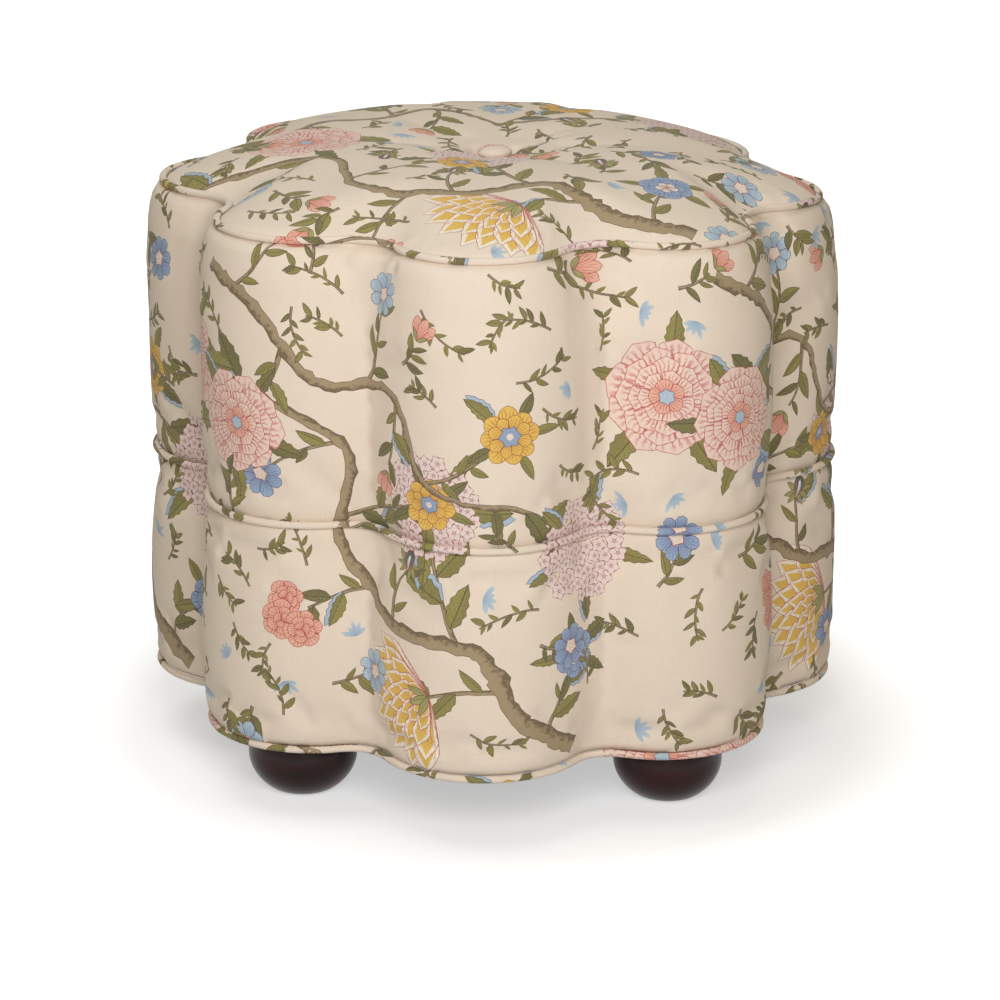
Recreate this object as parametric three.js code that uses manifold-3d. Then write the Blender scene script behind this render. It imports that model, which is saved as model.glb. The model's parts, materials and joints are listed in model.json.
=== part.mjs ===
// A scalloped tuffet: an upholstered stool with eight round lobes, a crowned top that one button ties down,
// two fabric bands, three rows of piping and four turned bun feet.
// Millimetres, +Z up. The origin is on the floor, under the middle. The first lobe is on +X.
import * as THREE from "three";
import { mergeVertices } from "three/addons/utils/BufferGeometryUtils.js";
import Module from "manifold-3d";

const wasm = await Module();
wasm.setup();

// Outline in plan
const LOBES = 8;
const TIP_RADIUS = 252; // from the centre to the foot of the lower band, at a lobe
const SCALLOP_DEPTH = 38; // how much nearer the centre a valley lies
const VALLEY_FILLET = 28; // radius of the hollow between two lobes
const LOBE_STEPS = 7;
const VALLEY_STEPS = 3;

// Clearances
const GAP = 0.3; // between pieces that lie against each other
const OVERRUN = 2; // how far a cutter runs past the face that it cuts
const WELD = 0.0001; // points nearer than this are one point

// Fabric and piping
const FABRIC = 1.2;
const HEM_WIDTH = 18; // turned in under the base board
const DUST_COVER = 0.6;
const PIPING_RADIUS = 2.4;
const PIPING_SIDES = 6;

// How far inside the foot of the lower band the fabric lies
const SEAM_DRAW_IN = 3.6; // the top of the lower band
const WAIST_DRAW_IN = 4.4; // the foot of the upper band
const CHEST_DRAW_IN = 3.2; // the upper band beside the deck board
const SHOULDER_DRAW_IN = 2.6; // the upper band where it bulges most
const RIM_DRAW_IN = 13; // the top edge of the upper band

// Heights
const FOOT_PAD_THICKNESS = 2;
const FOOT_HEIGHT = 53;
const BASE_THICKNESS = 18;
const POST_LENGTH = 270;
const DECK_THICKNESS = 18;
const FORMER_THICKNESS = 12;
const MIDDLE_PIPING_RISE = 165; // above the underside of the base board
const TOP_PIPING_RISE = 59.5; // above the deck board
const SHOULDER_DROP = 24; // from the top edge of the upper band down to its bulge
const CROWN_RISE = 30; // of the top cover above its rim
const CROWN_POWER = 4; // how flat the crown is before it falls to the rim
const TUFT_DEPTH = 11; // of the dimple around the button
const TUFT_SPREAD = 42;

// Padding and boards
const SIDE_PADDING = 11.5;
const WADDING = 6;
const SIDE_BOARD = 2.5;
const POST_WIDTH = 30;
const FORMER_RIM = 20; // how far the former reaches inside the posts

// Bun feet and their fixings
const FEET = 4;
const FOOT_SETBACK = 65; // from a lobe's tip to the middle of its foot
const FOOT_RADIUS = 40;
const FOOT_FLAT_RADIUS = 24; // at the top and at the bottom
const FOOT_SIDES = 20;
const FOOT_STEPS = 6;
const FOOT_PAD_RADIUS = 18;
const BOLT_RADIUS = 4;
const BOLT_DEPTH = 26; // in the foot
const BOLT_PROUD = 3; // above the base board
const NUT_WALL = 1.6;
const NUT_BARREL = 12;
const NUT_FLANGE_RADIUS = 11;
const NUT_FLANGE = 1.5;
const FIXING_SIDES = 12;

// Wood screws, one at each end of a post
const SCREW_RADIUS = 2.1;
const SCREW_LENGTH = 50;
const SCREW_POINT = 6;
const SCREW_HEAD_RADIUS = 4.2;
const SCREW_HEAD = 2.8;
const SCREW_SIDES = 6;

// Button and its tie
const BUTTON_RADIUS = 12.5;
const BUTTON_HEIGHT = 7;
const BUTTON_EDGE = 2.4; // the upright part of its side
const BUTTON_FABRIC = 0.8;
const CAP_WALL = 0.6;
const BUTTON_SIDES = 16;
const LOOP_RADIUS = 2;
const LOOP_WIRE = 0.6;
const TIE_HOLE = 3.4;
const TWINE_RADIUS = 0.7;
const TOGGLE_RADIUS = 11;
const TOGGLE_THICKNESS = 3;
const KNOT_RADIUS = 2.6;
const BEND_STEPS = 6;

// The roll of the upper band over its shoulder, as shares of its height and of its draw-in
const ROLL_SHARES = [[0, 0], [0.45, 0.12], [0.8, 0.42], [1, 1]];

// Rings of the top layers, as shares of the way from the dimple's floor to the rim
const OUTER_RING_SHARES = [1, 0.84];
const INNER_RING_SHARES = [0.6, 0.34, 0.16, 0];

// Points on the button's dome, as shares of a right angle from its edge to its top
const DOME_SHARES = [0, 0.33, 0.67];

// Colours
const LINEN = 0xe6d9c6;
const PLYWOOD = 0xc9a878;
const PINE = 0xd8b98a;
const CARD = 0x9c7b57;
const FOAM = 0xe9dfa8;
const WHITE_WADDING = 0xf2f2ee;
const MAHOGANY = 0x3a100a;
const BLACK_CLOTH = 0x17171a;
const ZINC = 0xb9bcc0;
const FELT = 0x3b332c;
const TWINE = 0xcdbb95;

// Heights that follow, from the floor up
const zFootTop = FOOT_PAD_THICKNESS + FOOT_HEIGHT;
const zBase = zFootTop + DUST_COVER;
const zBaseTop = zBase + BASE_THICKNESS;
const zDeck = zBaseTop + POST_LENGTH;
const zDeckTop = zDeck + DECK_THICKNESS;
const zHem = zBase - FABRIC;
const pipingRoom = PIPING_RADIUS + GAP; // from a piping's axis to what lies against it
const zBottomPiping = zHem - pipingRoom;
const zMiddlePiping = zBase + MIDDLE_PIPING_RISE;
const zLowerBandTop = zMiddlePiping - pipingRoom;
const zUpperBandFoot = zMiddlePiping + pipingRoom;
const zTopPiping = zDeckTop + TOP_PIPING_RISE;
const zUpperBandTop = zTopPiping - pipingRoom;
const zShoulder = zUpperBandTop - SHOULDER_DROP;
const zCoverRim = zTopPiping + FABRIC / 2;
const zFormer = zMiddlePiping - FORMER_THICKNESS / 2;
const zFormerTop = zFormer + FORMER_THICKNESS;

// Insets that follow, measured square to the outline
const lining = FABRIC + GAP; // from a band's face to the padding behind it
const boardInset = lining + SIDE_PADDING + GAP;
const frameInset = boardInset + SIDE_BOARD + GAP;
const topPipingInset = RIM_DRAW_IN + FABRIC / 2;
const coverInset = topPipingInset + pipingRoom;
const middlePipingInset = Math.min(SEAM_DRAW_IN, WAIST_DRAW_IN) + lining - pipingRoom;
const bottomPipingInset = FABRIC / 2;

// The outline's arcs: lobes of lobeRadius, joined by fillets in the valleys
const halfStep = Math.PI / LOBES;
const valleyRadius = TIP_RADIUS - SCALLOP_DEPTH;
const filletDistance = valleyRadius + VALLEY_FILLET;
const filletCentre = [filletDistance * Math.cos(halfStep), filletDistance * Math.sin(halfStep)];
const lobeRadius =
  (filletDistance ** 2 + TIP_RADIUS ** 2 - VALLEY_FILLET ** 2 - 2 * filletCentre[0] * TIP_RADIUS) /
  (2 * (TIP_RADIUS - filletCentre[0] + VALLEY_FILLET));
const lobeDistance = TIP_RADIUS - lobeRadius;
const lobeSweep = Math.atan2(filletCentre[1], filletCentre[0] - lobeDistance);
const filletSweep = lobeSweep - halfStep;

// One lobe and the valley after it, moved inwards by inset.
function outlineOfLobe(inset) {
  const points = [];
  for (let i = 0; i <= LOBE_STEPS; i++) {
    const turn = lobeSweep * ((2 * i) / LOBE_STEPS - 1);
    const reach = lobeRadius - inset;
    points.push([lobeDistance + reach * Math.cos(turn), reach * Math.sin(turn)]);
  }
  for (let i = 1; i < VALLEY_STEPS; i++) {
    const turn = halfStep + filletSweep * (1 - (2 * i) / VALLEY_STEPS);
    const reach = VALLEY_FILLET + inset;
    points.push([filletCentre[0] - reach * Math.cos(turn), filletCentre[1] - reach * Math.sin(turn)]);
  }
  return points;
}

// The whole outline at height z, moved inwards by inset.
function ringAt(inset, z) {
  const lobe = outlineOfLobe(inset);
  const ring = [];
  for (let k = 0; k < LOBES; k++) {
    const c = Math.cos(lobeAngle(k));
    const s = Math.sin(lobeAngle(k));
    lobe.forEach(([x, y]) => ring.push([x * c - y * s, x * s + y * c, z]));
  }
  return ring;
}

// Places round the middle
function lobeAngle(k) {
  return 2 * halfStep * k;
}

function valleyAngle(k) {
  return lobeAngle(k) + halfStep;
}

function placed(geometry, radius, angle) {
  return geometry.translate(radius, 0, 0).rotateZ(angle);
}

// The geometry with its faces turned outwards, as the sign of its volume tells.
function facingOut(geometry) {
  const position = geometry.getAttribute("position");
  const index = geometry.getIndex().array;
  const corners = [new THREE.Vector3(), new THREE.Vector3(), new THREE.Vector3()];
  let volume = 0;
  for (let i = 0; i < index.length; i += 3) {
    corners.forEach((corner, n) => corner.fromBufferAttribute(position, index[i + n]));
    volume += corners[0].dot(corners[1].cross(corners[2]));
  }
  if (volume < 0) {
    for (let i = 0; i < index.length; i += 3) {
      [index[i + 1], index[i + 2]] = [index[i + 2], index[i + 1]];
    }
  }
  geometry.computeVertexNormals();
  return geometry;
}

function indexed(positions, index) {
  const geometry = new THREE.BufferGeometry();
  geometry.setAttribute("position", new THREE.Float32BufferAttribute(positions, 3));
  geometry.setIndex(index);
  return geometry;
}

// Triangles between two rings, one of which has as many points as the other or a multiple of them.
// Each four-sided patch is split from its outer ring, so layers with like rings stay parallel.
function strip(from, to) {
  const steps = Math.max(from.count, to.count);
  const faces = [];
  for (let i = 0; i < steps; i++) {
    const [a, b] = [from, to].map((ring) => ring.start + Math.floor((i * ring.count) / steps));
    const next = (i + 1) % steps;
    const [c, d] = [from, to].map((ring) => ring.start + Math.floor((next * ring.count) / steps));
    const pair = to.reach > from.reach ? [[a, c, b], [b, c, d]] : [[a, c, d], [a, d, b]];
    faces.push(...pair);
  }
  return faces.filter(([a, b, c]) => a !== b && b !== c && c !== a);
}

// A closed mesh through rings of points. It ends in single points, or its last ring joins its first.
function skin(rings) {
  let start = 0;
  const spans = rings.map((ring) => {
    const span = { start, count: ring.length, reach: Math.hypot(ring[0][0], ring[0][1]) };
    start += ring.length;
    return span;
  });
  const faces = spans.slice(1).flatMap((span, i) => strip(spans[i], span));
  if (rings[0].length > 1) faces.push(...strip(spans.at(-1), spans[0]));
  return facingOut(indexed(rings.flat(2), faces.flat()));
}

// A wall that follows the outline. Its section is a closed list of [inset, z].
function wall(section) {
  return skin(section.map(([inset, z]) => ringAt(inset, z)));
}

// A board or sheet that fills the outline. Its section runs from the middle out and back to the middle.
function plate(section) {
  const rings = section.map(([inset, z]) => ringAt(inset, z));
  const [low, high] = [section[0][1], section.at(-1)[1]];
  return skin([[[0, 0, low]], ...rings, [[0, 0, high]]]);
}

// A round solid about Z. Its profile of [radius, z] starts and ends on the axis, or closes on itself.
function turned(profile, sides = FIXING_SIDES) {
  const points = profile.map(([radius, z]) => new THREE.Vector2(radius, z));
  return facingOut(new THREE.LatheGeometry(points, sides).rotateX(Math.PI / 2));
}

function cylinder(radius, low, high, sides) {
  return turned([[0, low], [radius, low], [radius, high], [0, high]], sides);
}

// A round bar bent like a hairpin in the plane of X and Z. Its legs run from zEnds, and it bends at zBend.
function hairpin(radius, halfWidth, zEnds, zBend) {
  const way = Math.sign(zBend - zEnds);
  const ring = (turn, z) => {
    const [outX, outZ] = [-Math.cos(turn), way * Math.sin(turn)];
    const points = [];
    for (let i = 0; i < BEND_STEPS; i++) {
      const angle = (2 * Math.PI * i) / BEND_STEPS;
      const reach = halfWidth + radius * Math.cos(angle);
      points.push([reach * outX, radius * Math.sin(angle), z + reach * outZ]);
    }
    return points;
  };
  const bend = [...Array(BEND_STEPS + 1).keys()].map((i) => ring((Math.PI * i) / BEND_STEPS, zBend));
  const ends = [-halfWidth, halfWidth].map((x) => [[x, 0, zEnds]]);
  return skin([ends[0], ring(0, zEnds), ...bend, ring(Math.PI, zEnds), ends[1]]);
}

function toSolid(geometry) {
  const bare = new THREE.BufferGeometry();
  bare.setAttribute("position", geometry.getAttribute("position"));
  bare.setIndex(geometry.getIndex());
  const merged = facingOut(mergeVertices(bare, WELD));
  const mesh = new wasm.Mesh({
    numProp: 3,
    vertProperties: merged.getAttribute("position").array,
    triVerts: new Uint32Array(merged.getIndex().array),
  });
  return new wasm.Manifold(mesh);
}

function toGeometry(solid) {
  const mesh = solid.getMesh();
  return facingOut(indexed([...mesh.vertProperties], [...mesh.triVerts]));
}

// The body without what the cutters take away.
function cut(body, cutters) {
  return toGeometry(cutters.reduce((solid, cutter) => solid.subtract(toSolid(cutter)), toSolid(body)));
}

function joined(body, other) {
  return toGeometry(toSolid(body).add(toSolid(other)));
}

const tuffet = new THREE.Group();

function add(name, geometry, color, roughness = 0.85, metalness = 0) {
  const mesh = new THREE.Mesh(geometry, new THREE.MeshStandardMaterial({ color, roughness, metalness }));
  mesh.name = name;
  tuffet.add(mesh);
}

// The upper band's face, as [inset, z] from its foot to its top edge
const shoulder = ROLL_SHARES.map(([heightShare, drawInShare]) => [
  SHOULDER_DRAW_IN + (RIM_DRAW_IN - SHOULDER_DRAW_IN) * drawInShare,
  zShoulder + SHOULDER_DROP * heightShare,
]);
const upperFace = [[WAIST_DRAW_IN, zUpperBandFoot], [CHEST_DRAW_IN, zDeckTop], ...shoulder];

function deeper(face, by) {
  return face.map(([inset, z]) => [inset + by, z]);
}

function addBands() {
  add("upper_band", wall([...upperFace, ...deeper(upperFace, FABRIC).reverse()]), LINEN);
  add("lower_band", wall([
    [0, zHem],
    [SEAM_DRAW_IN, zLowerBandTop],
    [SEAM_DRAW_IN + FABRIC, zLowerBandTop],
    [FABRIC, zBase],
    [HEM_WIDTH, zBase],
    [HEM_WIDTH, zHem],
  ]), LINEN);
}

function piping(inset, z) {
  const section = [];
  for (let i = 0; i < PIPING_SIDES; i++) {
    const turn = (2 * Math.PI * i) / PIPING_SIDES;
    section.push([inset + PIPING_RADIUS * Math.cos(turn), z + PIPING_RADIUS * Math.sin(turn)]);
  }
  return wall(section);
}

function addPipings() {
  add("top_piping", piping(topPipingInset, zTopPiping), LINEN);
  add("middle_piping", piping(middlePipingInset, zMiddlePiping), LINEN);
  add("bottom_piping", piping(bottomPipingInset, zBottomPiping), LINEN);
}

// The top layers share one crown, from the dimple's floor in the middle out to the rim.
const floorRadius = BUTTON_RADIUS + GAP + FABRIC;
const crownRadius = TIP_RADIUS - coverInset;

function crownHeight(share) {
  const radius = floorRadius + share * (crownRadius - floorRadius);
  const dimple = TUFT_DEPTH * Math.exp(-(((radius - floorRadius) / TUFT_SPREAD) ** 2));
  return CROWN_RISE * (1 - (radius / crownRadius) ** CROWN_POWER) - dimple;
}

function crownRing(share, drop, every) {
  const rim = ringAt(coverInset, zCoverRim - drop + crownHeight(share));
  const kept = rim.filter((_, i) => i % every === 0);
  return kept.map(([x, y, z]) => {
    const reach = Math.hypot(x, y);
    const scale = (floorRadius + share * (reach - floorRadius)) / reach;
    return [x * scale, y * scale, z];
  });
}

// The same ring, drawn in to the hole for the tie, at height z.
function holeRing(ring, z) {
  return ring.map(([x, y]) => {
    const scale = TIE_HOLE / Math.hypot(x, y);
    return [x * scale, y * scale, z];
  });
}

// One face of a top layer from its rim to the tie's hole, dropped below the top of the cover.
function crownFace(drop) {
  const outer = OUTER_RING_SHARES.map((share) => crownRing(share, drop, 1));
  const inner = INNER_RING_SHARES.map((share) => crownRing(share, drop, 2));
  const floor = inner.at(-1);
  return [...outer, ...inner, holeRing(floor, floor[0][2])];
}

function crownLayer(drop, thickness) {
  return skin([...crownFace(drop), ...crownFace(drop + thickness).reverse()]);
}

function addTop() {
  add("top_cover", crownLayer(0, FABRIC), LINEN);
  add("seat_wadding", crownLayer(lining, WADDING), WHITE_WADDING, 1);
  const foamTop = crownFace(lining + WADDING + GAP);
  const foamSide = deeper(upperFace.slice(1, -1), lining).map(([inset, z]) => ringAt(inset, z));
  const hole = holeRing(foamTop.at(-1), zDeckTop);
  add("seat_foam", skin([...foamTop.reverse(), ...foamSide.reverse(), hole]), FOAM, 0.95);
}

// The padding goes round in two lengths, which meet in opposite valleys.
function addPadding() {
  const face = [[0, zBase], [SEAM_DRAW_IN, zLowerBandTop], ...upperFace.slice(0, 2)];
  const back = [[lining + SIDE_PADDING, zDeckTop], [lining + SIDE_PADDING, zBase]];
  const padding = wall([...deeper(face, lining), ...back]);
  [0, LOBES / 2].forEach((k, i) => {
    const otherSide = new THREE.BoxGeometry(2 * TIP_RADIUS, TIP_RADIUS, 2 * (zDeckTop + OVERRUN));
    otherSide.translate(0, (GAP - TIP_RADIUS) / 2, 0).rotateZ(valleyAngle(k));
    add(`side_padding_${i + 1}`, cut(padding, [otherSide]), FOAM, 0.95);
  });
}

function addSideBoard() {
  const boardFace = [[boardInset, zBase], [boardInset, zDeckTop]];
  add("side_board", wall([...boardFace, ...deeper(boardFace, SIDE_BOARD).reverse()]), CARD, 0.9);
}

// The posts stand in the valleys, with their outer faces against the side board.
const postFaceRadius = valleyRadius - frameInset;
const postRadius = postFaceRadius - POST_WIDTH / 2;
const postBackRadius = postFaceRadius - POST_WIDTH;

// A wood screw down the axis of post k, with its head flush at z, pointing up where way is 1.
function screw(k, z, way) {
  const profile = [
    [0, z],
    [SCREW_HEAD_RADIUS, z],
    [SCREW_RADIUS, z + way * SCREW_HEAD],
    [SCREW_RADIUS, z + way * (SCREW_LENGTH - SCREW_POINT)],
    [0, z + way * SCREW_LENGTH],
  ];
  return placed(turned(profile, SCREW_SIDES), postRadius, valleyAngle(k));
}

// What a screw takes away: its countersink and its hole.
function screwCutter(k, z, way) {
  const profile = [
    [0, z - way * OVERRUN],
    [SCREW_HEAD_RADIUS + GAP, z - way * OVERRUN],
    [SCREW_HEAD_RADIUS + GAP, z],
    [SCREW_RADIUS + GAP, z + way * (SCREW_HEAD + GAP)],
    [SCREW_RADIUS + GAP, z + way * (SCREW_LENGTH + GAP)],
    [0, z + way * (SCREW_LENGTH + GAP)],
  ];
  return placed(turned(profile, SCREW_SIDES), postRadius, valleyAngle(k));
}

function addPostsAndScrews() {
  for (let k = 0; k < LOBES; k++) {
    const post = new THREE.BoxGeometry(POST_WIDTH, POST_WIDTH, POST_LENGTH);
    post.translate(0, 0, zBaseTop + POST_LENGTH / 2);
    const cutters = [screwCutter(k, zBase, 1), screwCutter(k, zDeckTop, -1)];
    add(`post_${k + 1}`, cut(placed(post, postRadius, valleyAngle(k)), cutters), PINE, 0.8);
    add(`base_screw_${k + 1}`, screw(k, zBase, 1), ZINC, 0.35, 1);
    add(`deck_screw_${k + 1}`, screw(k, zDeckTop, -1), ZINC, 0.35, 1);
  }
}

// The boards, each with the holes that its fixings need
const lobeNumbers = [...Array(LOBES).keys()];
const footNumbers = [...Array(FEET).keys()];
const nutHoleRadius = BOLT_RADIUS + GAP + NUT_WALL + GAP;

// A hole at each foot, from low to high.
function footHoles(radius, low, high) {
  return footNumbers.map((k) => atFoot(k, cylinder(radius, low - OVERRUN, high + OVERRUN)));
}

// The feet stand under every second lobe.
function atFoot(k, geometry) {
  return placed(geometry, TIP_RADIUS - FOOT_SETBACK, lobeAngle(1 + (k * LOBES) / FEET));
}

function addBaseAndDeck() {
  const base = plate([[frameInset, zBase], [frameInset, zBaseTop]]);
  const baseScrews = lobeNumbers.map((k) => screwCutter(k, zBase, 1));
  add("base_board", cut(base, [...baseScrews, ...footHoles(nutHoleRadius, zBase, zBaseTop)]), PLYWOOD, 0.8);
  const deck = plate([[frameInset, zDeck], [frameInset, zDeckTop]]);
  const deckScrews = lobeNumbers.map((k) => screwCutter(k, zDeckTop, -1));
  const tieHole = cylinder(TIE_HOLE, zDeck - OVERRUN, zDeckTop + OVERRUN);
  add("deck_board", cut(deck, [...deckScrews, tieHole]), PLYWOOD, 0.8);
}

// A ring that keeps the sides scalloped at the middle seam, notched for the posts.
function addFormer() {
  const openingRadius = postBackRadius - FORMER_RIM;
  const opening = cylinder(openingRadius, zFormer - OVERRUN, zFormerTop + OVERRUN, 4 * FIXING_SIDES);
  const notches = lobeNumbers.map((k) => {
    const depth = 2 * POST_WIDTH;
    const notch = new THREE.BoxGeometry(depth, POST_WIDTH + 2 * GAP, FORMER_THICKNESS + 2 * OVERRUN);
    notch.translate(0, 0, zMiddlePiping);
    return placed(notch, postBackRadius - GAP + depth / 2, valleyAngle(k));
  });
  const ring = plate([[frameInset, zFormer], [frameInset, zFormerTop]]);
  add("middle_former", cut(ring, [opening, ...notches]), PLYWOOD, 0.8);
}

// Stapled over the hem, and up against the base board inside it.
function addDustCover() {
  const step = HEM_WIDTH + GAP;
  const sheet = plate([
    [step + DUST_COVER, zFootTop],
    [step + DUST_COVER, zHem - DUST_COVER],
    [HEM_WIDTH / 2, zHem - DUST_COVER],
    [HEM_WIDTH / 2, zHem],
    [step, zHem],
    [step, zBase],
  ]);
  add("dust_cover", cut(sheet, footHoles(BOLT_RADIUS + GAP, zFootTop, zBase)), BLACK_CLOTH, 0.95);
}

// A bun foot, with a blind hole in its top for the bolt.
function bunFoot() {
  const flatTurn = Math.acos(FOOT_FLAT_RADIUS / FOOT_RADIUS);
  const profile = [[0, FOOT_PAD_THICKNESS]];
  for (let i = 0; i <= FOOT_STEPS; i++) {
    const turn = flatTurn * ((2 * i) / FOOT_STEPS - 1);
    const height = (FOOT_HEIGHT / 2) * (1 + Math.sin(turn) / Math.sin(flatTurn));
    profile.push([FOOT_RADIUS * Math.cos(turn), FOOT_PAD_THICKNESS + height]);
  }
  const hole = BOLT_RADIUS + GAP;
  const zHole = zFootTop - BOLT_DEPTH - GAP;
  profile.push([hole, zFootTop], [hole, zHole], [0, zHole]);
  return turned(profile, FOOT_SIDES);
}

// A flanged nut, pressed into the base board from above.
function footNut() {
  const bore = BOLT_RADIUS + GAP;
  const barrel = bore + NUT_WALL;
  return turned([
    [bore, zBaseTop - NUT_BARREL],
    [barrel, zBaseTop - NUT_BARREL],
    [barrel, zBaseTop],
    [NUT_FLANGE_RADIUS, zBaseTop],
    [NUT_FLANGE_RADIUS, zBaseTop + NUT_FLANGE],
    [bore, zBaseTop + NUT_FLANGE],
    [bore, zBaseTop - NUT_BARREL],
  ]);
}

function addFeet() {
  for (const k of footNumbers) {
    const pad = cylinder(FOOT_PAD_RADIUS, 0, FOOT_PAD_THICKNESS);
    const bolt = cylinder(BOLT_RADIUS, zFootTop - BOLT_DEPTH, zBaseTop + BOLT_PROUD);
    add(`foot_${k + 1}`, atFoot(k, bunFoot()), MAHOGANY, 0.25);
    add(`foot_pad_${k + 1}`, atFoot(k, pad), FELT, 1);
    add(`foot_bolt_${k + 1}`, atFoot(k, bolt), ZINC, 0.35, 1);
    add(`foot_nut_${k + 1}`, atFoot(k, footNut()), ZINC, 0.35, 1);
  }
}

// The button lies on the dimple's floor.
const zButton = zCoverRim + crownHeight(0) + GAP;

// The button's dome from its edge to its top, shrunk by inset.
function dome(inset) {
  const radius = BUTTON_RADIUS - inset;
  const rise = BUTTON_HEIGHT - BUTTON_EDGE - inset;
  const points = DOME_SHARES.map((share) => {
    const turn = (share * Math.PI) / 2;
    return [radius * Math.cos(turn), zButton + BUTTON_EDGE + rise * Math.sin(turn)];
  });
  return [[radius, zButton], ...points, [0, zButton + BUTTON_EDGE + rise]];
}

function domeShell(inset, thickness) {
  return turned([...dome(inset).reverse(), ...dome(inset + thickness)], BUTTON_SIDES);
}

// The loop hangs under the button's back, and the twine goes through it.
const zLoopBend = zButton - LOOP_RADIUS;
const zLoopFoot = zLoopBend - LOOP_RADIUS;
const strandOffset = LOOP_WIRE + TWINE_RADIUS + GAP;

function buttonBack(inset) {
  const back = cylinder(BUTTON_RADIUS - inset, zButton, zButton + CAP_WALL, BUTTON_SIDES);
  return joined(back, hairpin(LOOP_WIRE, LOOP_RADIUS, zButton + CAP_WALL / 2, zLoopBend));
}

function addButton() {
  const capInset = BUTTON_FABRIC + GAP;
  add("button_cover", domeShell(0, BUTTON_FABRIC), LINEN);
  add("button_cap", domeShell(capInset, CAP_WALL), ZINC, 0.4, 1);
  add("button_back", buttonBack(capInset + CAP_WALL + GAP), ZINC, 0.4, 1);
}

// The twine runs from its knot up through the toggle and the seat, over the loop and back down.
function addTie() {
  const zToggle = zDeck - GAP - TOGGLE_THICKNESS;
  const zKnot = zToggle - GAP - KNOT_RADIUS;
  const strands = hairpin(TWINE_RADIUS, strandOffset, zKnot, zLoopFoot).rotateZ(Math.PI / 2);
  const knot = new THREE.SphereGeometry(KNOT_RADIUS, SCREW_SIDES, SCREW_SIDES).translate(0, 0, zKnot);
  add("tufting_twine", joined(strands, knot), TWINE, 0.9);

  const zToggleTop = zToggle + TOGGLE_THICKNESS;
  const eyes = [-1, 1].map((side) => {
    const eye = cylinder(TWINE_RADIUS + GAP, zToggle - OVERRUN, zToggleTop + OVERRUN, SCREW_SIDES);
    return eye.translate(0, side * strandOffset, 0);
  });
  const toggle = cylinder(TOGGLE_RADIUS, zToggle, zToggleTop, BUTTON_SIDES);
  add("twine_toggle", cut(toggle, eyes), PINE, 0.7);
}

addBands();
addPipings();
addTop();
addPadding();
addSideBoard();
addBaseAndDeck();
addFormer();
addPostsAndScrews();
addDustCover();
addFeet();
addButton();
addTie();

export default tuffet;
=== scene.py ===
"""Dresses the solids of a scalloped tuffet: printed linen over padding, piping, a button and bun feet."""

import json
import logging
import math
import random
from dataclasses import dataclass, field, replace
from enum import Enum
from functools import reduce
from typing import Callable, Sequence

import bpy
import numpy as np
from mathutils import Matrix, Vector
from mathutils.geometry import delaunay_2d_cdt


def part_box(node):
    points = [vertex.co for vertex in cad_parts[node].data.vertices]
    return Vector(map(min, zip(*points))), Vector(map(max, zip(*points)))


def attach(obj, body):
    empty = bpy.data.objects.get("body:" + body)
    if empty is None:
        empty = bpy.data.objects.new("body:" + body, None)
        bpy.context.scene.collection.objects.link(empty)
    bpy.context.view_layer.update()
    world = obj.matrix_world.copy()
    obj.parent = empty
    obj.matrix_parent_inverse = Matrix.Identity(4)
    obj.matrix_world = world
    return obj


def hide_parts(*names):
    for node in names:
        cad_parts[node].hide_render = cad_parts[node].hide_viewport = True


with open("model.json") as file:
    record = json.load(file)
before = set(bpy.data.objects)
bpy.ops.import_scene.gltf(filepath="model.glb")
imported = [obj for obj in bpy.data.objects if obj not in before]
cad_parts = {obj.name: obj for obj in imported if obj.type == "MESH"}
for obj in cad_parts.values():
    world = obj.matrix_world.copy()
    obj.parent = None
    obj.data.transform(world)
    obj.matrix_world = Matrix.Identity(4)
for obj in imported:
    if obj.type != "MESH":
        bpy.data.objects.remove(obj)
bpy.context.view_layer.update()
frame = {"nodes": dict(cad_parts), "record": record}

log = logging.getLogger("tuffet")
BODY = "root"
MM = 0.001
FULL_TURN = 2 * math.pi
WELD = 1e-6


def linear(red: int, green: int, blue: int) -> tuple[float, float, float, float]:
    """A colour given as it looks on a screen, from 0 to 255, in the linear values that a material takes."""
    shares = [c / 255 for c in (red, green, blue)]
    return (*(s / 12.92 if s <= 0.04045 else ((s + 0.055) / 1.055) ** 2.4 for s in shares), 1.0)


def polar(middle: Sequence[float], reach: float, turn: float) -> tuple[float, float]:
    """The flat place at a distance and a direction from another."""
    return middle[0] + reach * math.cos(turn), middle[1] + reach * math.sin(turn)


def circle(turns: np.ndarray, radius: float = 1.0) -> np.ndarray:
    """Flat points about the origin, one at each turn."""
    return radius * np.stack([np.cos(turns), np.sin(turns)], 1)


# Plan and profile


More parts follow.
